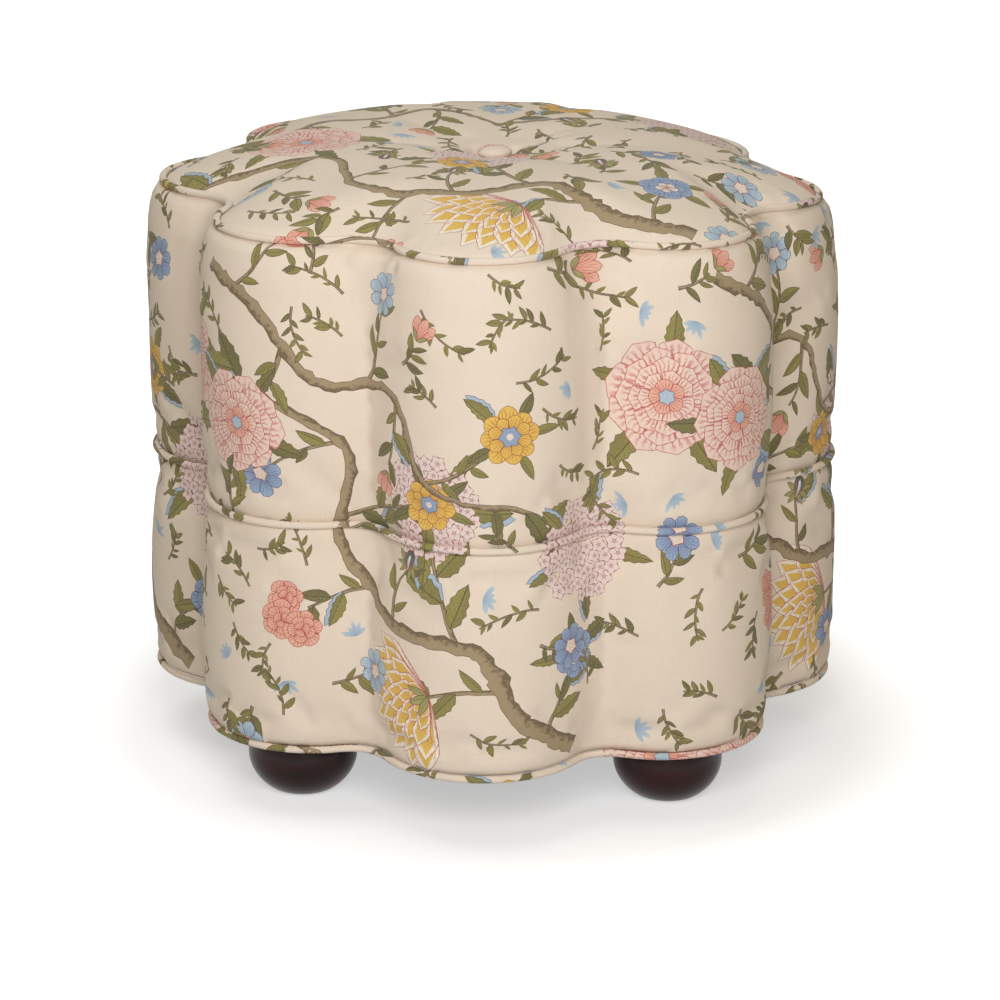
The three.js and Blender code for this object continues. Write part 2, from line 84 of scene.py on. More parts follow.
@dataclass(frozen=True)
class Outline:
    """The plan of the tuffet: round lobes, with a fillet in the valley between each two.

    Its points lie an even step apart along the edge of the foot of the lower band.
    """

    lobes: int = 8
    tip_radius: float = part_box("lower_band")[1].x
    scallop_depth: float = 38 * MM
    valley_fillet: float = 28 * MM
    lobe_steps: int = 21
    valley_steps: int = 5

    def arcs(self) -> tuple[float, float, float, float, np.ndarray]:
        """Fits the lobes and the fillets to each other.

        Returns:
            A lobe's radius, distance and sweep, a fillet's sweep, and the fillet's centre.
        """
        half_step = math.pi / self.lobes
        distance = self.tip_radius - self.scallop_depth + self.valley_fillet
        centre = np.array(polar((0, 0), distance, half_step))
        room = self.tip_radius - centre[0] + self.valley_fillet
        squares = distance**2 + self.tip_radius**2 - self.valley_fillet**2
        radius = (squares - 2 * centre[0] * self.tip_radius) / (2 * room)
        reach = self.tip_radius - radius
        sweep = math.atan2(centre[1], centre[0] - reach)
        return radius, reach, sweep, sweep - half_step, centre

    def edge(self) -> tuple[np.ndarray, np.ndarray]:
        """Goes round the edge.

        Returns:
            The points of the edge, and the direction out of it at each.
        """
        radius, reach, sweep, fillet_sweep, centre = self.arcs()
        lobe = [sweep * (2 * i / self.lobe_steps - 1) for i in range(self.lobe_steps + 1)]
        valley = [math.pi / self.lobes + fillet_sweep * (1 - 2 * i / self.valley_steps)
                  for i in range(1, self.valley_steps)]
        points = [polar((reach, 0), radius, turn) for turn in lobe]
        points += [polar(centre, -self.valley_fillet, turn) for turn in valley]
        normals = [polar((0, 0), 1, turn) for turn in lobe + valley]
        spins = [FULL_TURN * k / self.lobes for k in range(self.lobes)]
        turned = [np.array([[math.cos(a), math.sin(a)], [-math.sin(a), math.cos(a)]]) for a in spins]
        return tuple(np.concatenate([np.array(v) @ t for t in turned]) for v in (points, normals))

    @property
    def columns(self) -> int:
        """How many points go round."""
        return self.lobes * (self.lobe_steps + self.valley_steps)

    @property
    def girth(self) -> float:
        """The length of the edge, all the way round."""
        radius, _, sweep, fillet_sweep, _ = self.arcs()
        return self.lobes * 2 * (radius * sweep + self.valley_fillet * fillet_sweep)

    @property
    def step(self) -> float:
        """How far its points lie apart."""
        return self.girth / self.columns

    def valley_column(self, valley: int) -> float:
        """The place of a valley's middle among the points; valley 0 follows the lobe on +X."""
        return valley * (self.lobe_steps + self.valley_steps) + self.lobe_steps + self.valley_steps / 2

    def place(self, inset: Sequence[float], height: Sequence[float]) -> np.ndarray:
        """Draws the edge further in, ring by ring.

        Args:
            inset: how far in each ring lies.
            height: how high each lies.

        Returns:
            The rings' points, as an array of rows, columns and X, Y, Z.
        """
        points, normals = self.edge()
        flat = points[None] - np.asarray(inset)[:, None, None] * normals[None]
        up = np.broadcast_to(np.asarray(height)[:, None, None], (*flat.shape[:2], 1))
        return np.concatenate([flat, up], axis=2)


def spline(grid: np.ndarray, row: np.ndarray, column: np.ndarray) -> np.ndarray:
    """A smooth surface through a grid of points that closes on itself from its last column to its first.

    Args:
        grid: rows, columns and values.
        row: places among the rows, which need not be whole.
        column: places among the columns, likewise.

    Returns:
        The values at those places.
    """

    def weights(t: np.ndarray) -> list[np.ndarray]:
        """The shares of the four nearest points."""
        return [
            ((2 - t) * t - 1) * t / 2,
            ((3 * t - 5) * t * t + 2) / 2,
            ((4 - 3 * t) * t + 1) * t / 2,
            (t - 1) * t * t / 2,
        ]

    last = grid.shape[0] - 1
    low = np.clip(np.floor(row), 0, last - 1).astype(int)
    left = np.floor(column).astype(int)
    across, along = weights(row - low), weights(column - left)
    ends = np.concatenate([2 * grid[:1] - grid[1:2], grid, 2 * grid[-1:] - grid[-2:-1]])
    out = np.zeros((len(row), grid.shape[2]))
    for i in range(4):
        for j in range(4):
            out += (across[i] * along[j])[:, None] * ends[low + i, (left + j - 1) % grid.shape[1]]
    return out


@dataclass
class Surface:
    """A cloth surface: a grid of points, and how a place on the flat cloth is found in it."""

    grid: np.ndarray
    find: Callable[[np.ndarray], tuple[np.ndarray, np.ndarray]]

    def at(self, flat: np.ndarray) -> np.ndarray:
        """Where places on the flat cloth lie."""
        return spline(self.grid, *self.find(flat))

    def normals(self, flat: np.ndarray, reach: float = 2 * MM) -> np.ndarray:
        """The directions out of the cloth.

        Args:
            flat: places on the flat cloth.
            reach: how far to each side the slope is taken.

        Returns:
            A direction for each place.
        """
        along, up = np.array([reach, 0]), np.array([0, reach])
        across = self.at(flat + along) - self.at(flat - along)
        out = np.cross(across, self.at(flat + up) - self.at(flat - up))
        return out / np.maximum(np.linalg.norm(out, axis=1, keepdims=True), 1e-12)


# The print


class Kind(Enum):
    """How the inside of a printed shape is drawn."""

    PLAIN = 0
    LEAF = 1
    PETAL = 2
    BARK = 3
    FLORET = 4
    DISC = 5


class Ink(Enum):
    """The printer's inks: each a colour, and the deeper colour that is drawn over it inside a shape."""

    OLIVE = (linear(146, 140, 66), linear(88, 80, 38))
    MOSS = (linear(118, 114, 56), linear(68, 64, 34))
    SAGE = (linear(176, 172, 108), linear(124, 116, 58))
    BARK = (linear(170, 150, 116), linear(98, 78, 50))
    ROSE = (linear(248, 222, 211), linear(204, 78, 82))
    CORAL = (linear(242, 186, 166), linear(204, 78, 68))
    SUN = (linear(238, 196, 84), linear(196, 116, 34))
    LILAC = (linear(242, 224, 222), linear(166, 68, 96))
    SKY = (linear(190, 212, 228), linear(122, 156, 198))
    BLUE = (linear(152, 178, 214), linear(84, 102, 158))
    SHELL = (linear(252, 244, 230), linear(196, 60, 60))
    TEAL = (linear(72, 82, 88), linear(128, 140, 150))
    LEAF_LINE = (linear(76, 64, 32),) * 2
    BARK_LINE = (linear(84, 62, 42),) * 2
    RED_LINE = (linear(190, 52, 58),) * 2
    GOLD_LINE = (linear(160, 78, 44),) * 2
    BLUE_LINE = (linear(72, 80, 132),) * 2


@dataclass
class Shape:
    """One printed shape: its outline on the flat cloth, its ink, and the frame of what is drawn inside."""

    points: np.ndarray
    ink: Ink
    kind: Kind = Kind.PLAIN
    middle: tuple[float, float] = (0.0, 0.0)
    turn: float = 0.0
    size: tuple[float, float] = (1.0, 1.0)

    def local(self, flat: np.ndarray) -> np.ndarray:
        """Puts places on the cloth into the shape's own frame, where it reaches from about -1 to 1 each way.

        Args:
            flat: the places.

        Returns:
            The same places in that frame.
        """
        c, s = math.cos(self.turn), math.sin(self.turn)
        off = flat - np.array(self.middle)
        turned = np.stack([off[:, 0] * c + off[:, 1] * s, off[:, 1] * c - off[:, 0] * s], 1)
        return turned / np.array(self.size)


class Bloom(Enum):
    """What a twig ends in, with its usual radius."""

    NONE = 0.0
    PEONY = 39 * MM
    MARIGOLD = 31 * MM
    CLUSTER = 37 * MM
    DAISY = 20 * MM
    ROSETTE = 14 * MM
    STAR = 15.5 * MM
    DOUBLE = 18 * MM
    BUD = 9 * MM
    POD = 6.5 * MM


@dataclass(frozen=True)
class Twig:
    """A side shoot: where it leaves the branch, its turn, length and bend, and what it ends in."""

    share: float
    turn: float
    length: float
    bend: float
    bloom: Bloom
    leaves: int = 4
    leaf: float = 21 * MM


@dataclass(frozen=True)
class Spray:
    """A branch with its twigs, in metres from its foot."""

    branch: Sequence[tuple[float, float]]
    twigs: Sequence[Twig]
    thickness: float = 11 * MM


def moved(x: np.ndarray, y: np.ndarray, at: Sequence[float], turn: float) -> np.ndarray:
    """Points turned by an angle and moved to a place."""
    c, s = math.cos(turn), math.sin(turn)
    return np.stack([at[0] + x * c - y * s, at[1] + x * s + y * c], 1)


@dataclass
class Print:
    """A floral print for the linen, drawn with outlines as on a block print, from seeded random numbers."""

    seed: int
    line: float = 0.45 * MM
    long_leaf: float = 25 * MM
    lined_leaf: float = 9 * MM
    shapes: list[Shape] = field(default_factory=list)
    taken: list[tuple[float, float, float]] = field(default_factory=list)

    def __post_init__(self) -> None:
        """Starts the random numbers."""
        self.chance = random.Random(self.seed)

    def vary(self, value: float, share: float) -> float:
        """The value, changed by up to a share of itself."""
        return value * (1 + self.chance.uniform(-share, share))

    def draw(self, points: np.ndarray, inks: Sequence[Ink | None], kind: Kind, span: tuple) -> None:
        """Adds a shape with its drawn line round it.

        Args:
            points: the outline, counter-clockwise.
            inks: the ink inside, and the ink of the line, or None for no line.
            kind: how the inside is drawn.
            span: the shape's middle, turn and size.
        """
        fill, edge = inks
        if edge is not None:
            self.shapes.append(Shape(points, edge, Kind.PLAIN, *span))
            way = np.roll(points, -1, 0) - np.roll(points, 1, 0)
            length = np.maximum(np.linalg.norm(way, axis=1), 1e-9)[:, None]
            points = points + np.stack([-way[:, 1], way[:, 0]], 1) / length * self.line
        self.shapes.append(Shape(points, fill, kind, *span))

    def leaf(self, at: Sequence[float], turn: float, length: float, fill: Ink | None = None) -> None:
        """A pointed leaf. A long one has a toothed edge, and some a pale blue shadow.

        Args:
            at: where its stalk is.
            turn: the way it points.
            length: how long it is.
            fill: its ink, or None for one of the greens.
        """
        width = self.vary(0.18 * length, 0.2)
        bend = self.chance.uniform(-0.24, 0.24)
        long = length > self.long_leaf
        steps = 11 if long else 6
        x = np.concatenate([np.linspace(-1, 1, steps), np.linspace(1, -1, steps)[1:-1]])
        side = np.concatenate([-np.ones(steps), np.ones(steps - 2)])
        y = side * (1 - x**2) ** 0.75 * (1 - 0.28 * x)
        if long:
            y *= 1 + 0.11 * np.cos(np.arange(len(x)) * math.pi)
        y = y * width + bend * length / 4 * (1 - x**2)
        half = length / 2
        span = (polar(at, half, turn), turn, (half, width))
        if long and self.chance.random() < 0.4:
            behind = moved((x + 1) * half * 1.04, y - width * 0.4, at, turn - 0.04)
            self.draw(behind, (Ink.SKY, Ink.BLUE_LINE), Kind.LEAF, span)
        chosen = fill or self.chance.choice([Ink.OLIVE, Ink.OLIVE, Ink.MOSS])
        line = Ink.LEAF_LINE if length > self.lined_leaf else None
        self.draw(moved((x + 1) * half, y, at, turn), (chosen, line), Kind.LEAF, span)

    def petal(self, at: Sequence[float], turn: float, length: float, width: float, inks: tuple,
              lobes: int = 3) -> None:
        """A petal that starts narrow and widens to a scalloped end.

        Args:
            at: where it starts.
            turn: the way it points.
            length: how long it is.
            width: how wide it is.
            inks: its ink, and the ink of its line or None.
            lobes: the scallops on its end.
        """
        t = np.linspace(0, FULL_TURN, 8 + 3 * lobes, endpoint=False)
        reach = 1 + 0.1 * np.cos(lobes * 2 * t) * np.clip(np.cos(t), 0, 1) ** 0.5
        x = (1 + np.cos(t) * reach) * length / 2
        y = np.sin(t) * reach * (0.85 + 0.42 * np.cos(t)) * width / 2
        span = (polar(at, length / 2, turn), turn, (length / 2, width / 2))
        self.draw(moved(x, y, at, turn), inks, Kind.PETAL, span)

    def disc(self, at: Sequence[float], radius: float, inks: tuple, kind: Kind = Kind.DISC,
             lobes: int = 0) -> None:
        """A round or lobed shape.

        Args:
            at: its middle.
            radius: how far it reaches.
            inks: its ink, and the ink of its line or None.
            kind: how its inside is drawn.
            lobes: how many lobes it has, or 0 for a round one.
        """
        turn = self.chance.uniform(0, FULL_TURN)
        t = np.linspace(0, FULL_TURN, max(10, 3 * lobes), endpoint=False)
        reach = radius * (1 + (0.16 * np.cos(lobes * t) if lobes else 0 * t))
        points = moved(reach * np.cos(t), reach * np.sin(t), at, turn)
        self.draw(points, inks, kind, (tuple(at), turn, (radius, radius)))

    def whorl(self, at: Sequence[float], radius: float, rings: Sequence, inks: tuple,
              lobes: int = 2) -> None:
        """Rings of petals, the outermost first.

        Args:
            at: the middle.
            radius: how far the outermost reach.
            rings: for each ring, its number of petals, and where they start and end, as shares of the radius.
            inks: the petals' ink and the ink of their line.
            lobes: the scallops on each petal's end.
        """
        turn = self.chance.uniform(0, 1)
        for k, (count, start, end) in enumerate(rings):
            width = FULL_TURN / count * (0.3 * start + 0.7 * end) * radius * 1.12
            for i in range(count):
                angle = turn + FULL_TURN * (i + 0.5 * k) / count + self.chance.uniform(-0.07, 0.07)
                length = self.vary((end - start) * radius, 0.08)
                foot = polar(at, start * radius, angle)
                self.petal(foot, angle, length, self.vary(width, 0.1), inks, lobes)

    def fan(self, at: Sequence[float], radius: float, turn: float) -> None:
        """A half-open blossom of tiers of white petals with golden hearts, which fan out from its foot.

        Args:
            at: the middle.
            radius: how far it reaches.
            turn: the way it points.
        """
        foot = polar(at, -0.85 * radius, turn)
        for tier in range(5):
            reach = radius * (1.9 - 0.34 * tier)
            count, spread = 9 - tier, 2.5 - 0.12 * tier
            for i in range(count):
                angle = turn + (i - (count - 1) / 2) * spread / count + self.chance.uniform(-0.05, 0.05)
                width = 1.25 * spread / count * reach
                length = self.vary(reach, 0.05)
                self.petal(foot, angle, length, width, (Ink.SHELL, Ink.RED_LINE))
                self.petal(foot, angle, 0.93 * length, 0.62 * width, (Ink.SUN, None))
        for side in (-0.7, 0.0, 0.7):
            self.leaf(foot, turn + side, 0.6 * radius, Ink.SAGE)

    def cluster(self, at: Sequence[float], radius: float) -> None:
        """A round head of many lilac florets.

        Args:
            at: its middle.
            radius: how far it reaches.
        """
        pitch, stray = 9.4 * MM, 1.1
        rows = int(radius / pitch) + 1
        for row in range(-rows, rows + 1):
            for column in range(-rows, rows + 1):
                x = (column + 0.5 * (row % 2)) * pitch + self.chance.uniform(-stray, stray) * MM
                y = row * pitch * 0.87 + self.chance.uniform(-stray, stray) * MM
                if math.hypot(x, y) < radius * self.chance.uniform(0.9, 1.04):
                    spot = (at[0] + x, at[1] + y)
                    self.disc(spot, self.vary(5.3 * MM, 0.08), (Ink.LILAC, None), Kind.FLORET, 5)

    def bloom(self, what: Bloom, at: Sequence[float], turn: float) -> None:
        """Draws what a twig ends in and keeps its place clear.

        Args:
            what: the kind of bloom.
            at: the end of the twig.
            turn: the way the twig points.
        """
        size = self.vary(what.value, 0.08)
        at = polar(at, 0.6 * size, turn)
        self.taken.append((*at, size * 1.1))
        if what in (Bloom.PEONY, Bloom.CLUSTER, Bloom.DAISY, Bloom.DOUBLE):
            for i in range(5):
                angle = turn + FULL_TURN * (i + 0.5) / 5 + self.chance.uniform(-0.25, 0.25)
                self.leaf(polar(at, 0.7 * size, angle), angle, self.vary(0.55 * size + 12 * MM, 0.18))
        rose, coral, shell = ((ink, Ink.RED_LINE) for ink in (Ink.ROSE, Ink.CORAL, Ink.SHELL))
        sky, blue = ((ink, Ink.BLUE_LINE) for ink in (Ink.SKY, Ink.BLUE))
        if what is Bloom.PEONY:
            self.whorl(at, size, [(9, 0.45, 1), (9, 0.34, 0.82), (8, 0.24, 0.64), (7, 0.14, 0.46)], rose, 3)
            self.whorl(at, size, [(5, 0.04, 0.3)], coral, 2)
            self.disc(at, 0.13 * size, sky, lobes=6)
        elif what is Bloom.MARIGOLD:
            self.fan(at, size, turn)
        elif what is Bloom.CLUSTER:
            self.cluster(at, size)
        elif what is Bloom.DAISY:
            self.whorl(at, size, [(8, 0.3, 1), (8, 0.2, 0.72)], (Ink.SUN, Ink.GOLD_LINE), 2)
            self.disc(at, 0.34 * size, blue, lobes=6)
            self.disc(at, 0.12 * size, (Ink.SHELL, None))
        elif what is Bloom.ROSETTE:
            for side in (-1.3, 0.1, 1.4):
                spot = polar(at, 0.95 * size, turn + side)
                reach = size * self.chance.uniform(0.85, 1.1)
                self.whorl(spot, reach, [(6, 0.3, 1), (5, 0.12, 0.7), (3, 0, 0.4)], coral)
                self.taken.append((*spot, size))
        elif what is Bloom.STAR:
            self.whorl(at, size, [(8, 0.2, 1)], self.chance.choice([sky, sky, blue]), 1)
            self.disc(at, 0.34 * size, shell, lobes=5)
        elif what is Bloom.DOUBLE:
            self.whorl(at, size, [(6, 0.3, 1), (5, 0.15, 0.7)], blue, 2)
            self.whorl(at, size, [(5, 0, 0.42)], (Ink.SHELL, Ink.BLUE_LINE), 1)
        elif what is Bloom.BUD:
            for side in (-0.5, 0.5, 0.0):
                self.petal(at, turn + side, 2 * size, 1.1 * size, coral, 2)
            for side in (-0.8, 0.8):
                self.leaf(at, turn + side, 1.2 * size, Ink.SAGE)
        elif what is Bloom.POD:
            for side in (-2.6, -2.0, -1.2, 1.2, 2.0, 2.6):
                self.leaf(at, turn + side, 1.9 * size, Ink.SAGE)
            foot = polar(at, -0.9 * size, turn)
            self.petal(foot, turn, 2.4 * size, 1.7 * size, (Ink.TEAL, Ink.RED_LINE), 1)
            self.petal(foot, turn, 1.9 * size, 0.4 * size, (Ink.SHELL, None), 1)

    def stroke(self, path: np.ndarray, widths: np.ndarray, wander: float) -> None:
        """A branch or twig: strips along a path, first all of the line's ink and then all of the bark's.

        Args:
            path: the points of its middle.
            widths: how wide it is at each.
            wander: how uneven its sides are, as a share of its width.
        """
        way = np.gradient(path, axis=0)
        way /= np.maximum(np.linalg.norm(way, axis=1), 1e-9)[:, None]
        side = np.stack([-way[:, 1], way[:, 0]], 1)
        rough = np.array([[1 + self.chance.uniform(-wander, wander) for _ in path] for _ in range(2)])
        for margin, ink, kind in ((self.line, Ink.BARK_LINE, Kind.PLAIN), (0.0, Ink.BARK, Kind.BARK)):
            left = path + side * (widths / 2 * rough[0] + margin)[:, None]
            right = path - side * (widths / 2 * rough[1] + margin)[:, None]
            for i in range(len(path) - 1):
                points = np.array([right[i], right[i + 1], left[i + 1], left[i]])
                middle = tuple((path[i] + path[i + 1]) / 2)
                turn = math.atan2(way[i, 1], way[i, 0])
                size = (float(np.linalg.norm(path[i + 1] - path[i])) / 2, float(widths[i]) / 2)
                self.shapes.append(Shape(points, ink, kind, middle, turn, size))

    def twig(self, twig: Twig, at: np.ndarray, turn: float) -> None:
        """A thin curved shoot with its leaves and its bloom.

        Args:
            twig: its design.
            at: where it starts.
            turn: the way it starts.
        """
        steps = max(5, int(twig.length / (4.5 * MM)))
        path, angle = [np.array(at)], turn
        for i in range(steps):
            angle += twig.bend / steps + self.chance.uniform(-0.07, 0.07)
            path.append(path[-1] + twig.length / steps * np.array([math.cos(angle), math.sin(angle)]))
        path = np.array(path)
        thick = 0.12 * twig.leaf
        self.stroke(path, np.linspace(thick, 0.4 * thick, len(path)), 0.15)
        for i in range(twig.leaves):
            place = path[min(len(path) - 2, 1 + int((i + 0.7) / (twig.leaves + 0.4) * (len(path) - 1)))]
            spread = 0.75 * (1 if i % 2 else -1) + self.chance.uniform(-0.2, 0.2)
            way = turn + twig.bend * (i + 1) / (twig.leaves + 1) + spread
            self.leaf(place, way, self.vary(twig.leaf, 0.35))
            self.taken.append((*place, 0.7 * twig.leaf))
        self.bloom(twig.bloom, path[-1], angle)

    def spray(self, spray: Spray, at: Sequence[float], turn: float, mirror: int) -> None:
        """Draws a branch with its twigs.

        Args:
            spray: its design.
            at: where its foot is on the cloth.
            turn: how far it is turned.
            mirror: 1, or -1 to have it the other way round.
        """
        knots = np.array(spray.branch) * [mirror, 1]
        knots = moved(knots[:, 0], knots[:, 1], at, turn)
        ends = np.concatenate([2 * knots[:1] - knots[1:2], knots, 2 * knots[-1:] - knots[-2:-1]])
        length = float(np.linalg.norm(np.diff(knots, axis=0), axis=1).sum())
        t = np.linspace(0, len(knots) - 1, max(24, int(length / (5 * MM))))
        low = np.clip(t.astype(int), 0, len(knots) - 2)
        f = (t - low)[:, None]
        a, b, c, d = (ends[low + k] for k in range(4))
        path = 2 * b + (c - a) * f + (2 * a - 5 * b + 4 * c - d) * f**2 + (3 * b - a - 3 * c + d) * f**3
        path = 0.5 * path + np.array([[self.chance.uniform(-1, 1) * MM for _ in range(2)] for _ in path])
        way = np.gradient(path, axis=0)
        for twig in spray.twigs:
            i = int(twig.share * (len(path) - 1))
            angle = math.atan2(way[i, 1], way[i, 0]) + mirror * twig.turn
            self.twig(replace(twig, bend=mirror * twig.bend), path[i], angle)
        widths = np.linspace(1, 0.34, len(path)) * spray.thickness
        knobs = np.array([self.chance.random() < 0.12 for _ in path])
        self.stroke(path, widths * (1 + 0.35 * knobs), 0.2)
        self.taken += [(*p, 14 * MM) for p in path]

    def sprig(self, at: Sequence[float], turn: float) -> None:
        """A small loose sprig of fine leaves, a pod or bud, or pale blue bells.

        Args:
            at: where it starts.
            turn: the way it points.
        """
        kind = self.chance.random()
        if kind < 0.18:
            for i in range(5):
                length = self.vary(10 * MM, 0.25)
                self.petal(at, turn + (i - 2) * 0.55, length, 3.6 * MM, (Ink.SKY, None), 2)
        elif kind < 0.66:
            self.twig(Twig(0, 0, self.vary(34 * MM, 0.3), 0.7, Bloom.NONE, 8, 9.5 * MM), np.array(at), turn)
        else:
            ends = [Bloom.NONE, Bloom.NONE, Bloom.STAR, Bloom.BUD, Bloom.BUD, Bloom.POD]
            length = self.vary(26 * MM, 0.3)
            self.twig(Twig(0, 0, length, 0.6, self.chance.choice(ends), 5, 16 * MM), np.array(at), turn)

    def scatter(self, low: Sequence[float], high: Sequence[float], room: float, tries: int) -> None:
        """Fills what is left of an area with sprigs.

        Args:
            low: the area's lowest corner.
            high: its highest corner.
            room: how far a sprig keeps from what is there.
            tries: how many places are tried.
        """
        for _ in range(tries):
            at = [self.chance.uniform(a, b) for a, b in zip(low, high)]
            if all(math.hypot(at[0] - x, at[1] - y) > r + room for x, y, r in self.taken):
                self.sprig(at, self.chance.uniform(0, FULL_TURN))
                self.taken.append((*at, 18 * MM))


CLIMBING = Spray(
    branch=[(0, 0), (-0.045, 0.035), (-0.07, 0.085), (-0.135, 0.1), (-0.185, 0.15), (-0.175, 0.22),
            (-0.235, 0.265)],
    twigs=[
        Twig(0.08, -1.1, 0.05, -0.6, Bloom.DOUBLE, 3),
        Twig(0.24, 1.0, 0.06, 0.5, Bloom.MARIGOLD, 3, 0.027),
        Twig(0.38, -0.9, 0.08, -0.5, Bloom.CLUSTER, 4, 0.03),
        Twig(0.5, -1.0, 0.045, -0.6, Bloom.POD, 3),
        Twig(0.58, 0.8, 0.05, 0.7, Bloom.ROSETTE, 4),
        Twig(0.72, -0.9, 0.075, -0.4, Bloom.DAISY, 5),
        Twig(0.86, 0.9, 0.055, 0.6, Bloom.STAR, 4),
        Twig(1.0, 0.1, 0.06, 0.4, Bloom.PEONY, 4, 0.03),
    ],
    thickness=12.5 * MM,
)
TRAILING = Spray(
    branch=[(0, 0), (0.05, -0.02), (0.1, -0.065), (0.165, -0.06), (0.2, -0.115), (0.265, -0.125)],
    twigs=[
        Twig(0.12, 0.9, 0.055, 0.5, Bloom.ROSETTE, 4),
        Twig(0.3, -0.9, 0.05, -0.5, Bloom.PEONY, 3, 0.028),
        Twig(0.5, 0.9, 0.06, 0.5, Bloom.STAR, 5),
        Twig(0.62, -0.8, 0.05, -0.6, Bloom.BUD, 4),
        Twig(0.8, 0.9, 0.06, 0.4, Bloom.DAISY, 4),
        Twig(1.0, 0.0, 0.05, -0.5, Bloom.CLUSTER, 4, 0.03),
    ],
    thickness=8.5 * MM,
)


def side_print(girth: float, height: float) -> Print:
    """The print on the cloth of both bands, which runs on over the seam between them.

    Args:
        girth: the cloth's length round the tuffet.
        height: its height, from the hem to the top seam.

    Returns:
        The print, with the cloth's foot at 0.
    """
    made = Print(seed=11)
    quarter, edge = girth / 4, 10 * MM
    for k in range(-1, 5):
        made.spray(CLIMBING, (quarter * (k + 0.93), 0.012), 0.06, 1)
        made.spray(TRAILING, (quarter * (k + 0.2), height * 0.93), -0.1, 1)
    made.scatter((0.0, edge), (girth, height - edge), 6 * MM, 1500)
    return made


def top_print(radius: float) -> Print:
    """The print on the cloth of the top.

    Args:
        radius: how far the cloth reaches.

    Returns:
        The print, drawn about the cloth's middle.
    """
    made = Print(seed=5)
    made.spray(CLIMBING, (0.62 * radius, -0.72 * radius), 0.5, 1)
    made.spray(TRAILING, (-0.95 * radius, 0.3 * radius), 0.5, 1)
    made.spray(TRAILING, (0.8 * radius, 0.35 * radius), 2.6, -1)
    made.scatter((-radius, -radius), (radius, radius), 6 * MM, 800)
    return made


# Meshes


def new_object(name: str, points: np.ndarray, faces: Sequence,
               material: bpy.types.Material) -> bpy.types.Object:
    """Makes a smooth mesh object and puts it into the scene.

    Args:
        name: its name.
        points: its points.
        faces: its faces, as the numbers of their points.
        material: its material.

    Returns:
        The object.
    """
    mesh = bpy.data.meshes.new(name)
    mesh.from_pydata(np.asarray(points).tolist(), [], [list(map(int, f)) for f in faces])
    mesh.materials.append(material)
    mesh.shade_smooth()
    made = bpy.data.objects.new(name, mesh)
    bpy.context.scene.collection.objects.link(made)
    return made


def grid_faces(rows: int, columns: int, closed: bool = False) -> list[tuple[int, ...]]:
    """The faces of a grid that closes on itself from its last column to its first.

    Args:
        rows: how many rows of points it has.
        columns: how many points a row has.
        closed: True if the last row also joins the first. The end rows are capped otherwise.

    Returns:
        The faces, the caps last.
    """
    faces = []
    for r in range(rows if closed else rows - 1):
        for c in range(columns):
            d, up = (c + 1) % columns, (r + 1) % rows
            faces.append((r * columns + c, r * columns + d, up * columns + d, up * columns + c))
    if not closed:
        last = (rows - 1) * columns
        faces += [tuple(range(columns))[::-1], tuple(range(last, last + columns))]
    return faces


def grid_object(name: str, grid: np.ndarray, material: bpy.types.Material,
                closed: bool) -> bpy.types.Object:
    """Makes a closed mesh from a grid of points.

    Args:
        name: its name.
        grid: the points, as rows, columns and X, Y, Z.
        material: its material.
        closed: True if the last row joins the first. The end rows are capped otherwise.

    Returns:
        The object.
    """
    return new_object(name, grid.reshape(-1, 3), grid_faces(*grid.shape[:2], closed), material)


def triangulate(points: np.ndarray, edges: np.ndarray,
                faces: Sequence) -> tuple[np.ndarray, np.ndarray, list, list]:
    """Makes a flat triangle mesh that keeps to edges and faces.

    Args:
        points: every flat point.
        edges: pairs of them.
        faces: outlines, of which the first bounds the mesh.

    Returns:
        The points, the triangles, which outlines hold each triangle, and the points given that each
        point stands for.
    """
    given = [Vector(p) for p in points.tolist()]
    flat, _, made, old, _, inside = delaunay_2d_cdt(given, edges.tolist(), faces, 1, WELD, True)
    kept = [k for k, ids in enumerate(inside) if 0 in ids]
    made = np.array([made[k] for k in kept])
    used, made = np.unique(made, return_inverse=True)
    flat, made = np.array([tuple(flat[k]) for k in used]), made.reshape(-1, 3)
    a, b, c = (flat[made[:, k]] for k in range(3))
    wrong = (b - a)[:, 0] * (c - a)[:, 1] - (b - a)[:, 1] * (c - a)[:, 0] < 0
    made[wrong] = made[wrong][:, ::-1]
    return flat, made, [inside[k] for k in kept], [old[k] for k in used]


def sides_of(faces: np.ndarray) -> tuple[np.ndarray, np.ndarray, np.ndarray]:
    """Finds the edges of triangles.

    Args:
        faces: the triangles.

    Returns:
        The edges, each once, and the triangle on either side of each. The second is -1 at the rim.
    """
    edges = np.concatenate([faces[:, [0, 1]], faces[:, [1, 2]], faces[:, [2, 0]]])
    owner = np.tile(np.arange(len(faces)), 3)
    order = np.lexsort((edges.max(1), edges.min(1)))
    edges, owner = edges[order], owner[order]
    same = (np.sort(edges[1:], 1) == np.sort(edges[:-1], 1)).all(1)
    first = np.flatnonzero(~np.concatenate([[False], same]))
    paired = np.concatenate([same, [False]])[first]
    other = np.where(paired, owner[np.minimum(first + 1, len(owner) - 1)], -1)
    return edges[first], owner[first], other


def within(places: np.ndarray, outline: np.ndarray) -> np.ndarray:
    """Tells which places lie inside an outline.

    Args:
        places: flat places.
        outline: the outline's points.

    Returns:
        True or False for each place.
    """
    x, y = places[:, :1], places[:, 1:]
    (ax, ay), (bx, by) = outline.T, np.roll(outline, -1, 0).T
    spans = (ay > y) != (by > y)
    rise = np.where(by == ay, 1, by - ay)
    return (spans & (x < ax + (y - ay) / rise * (bx - ax))).sum(1) % 2 == 1


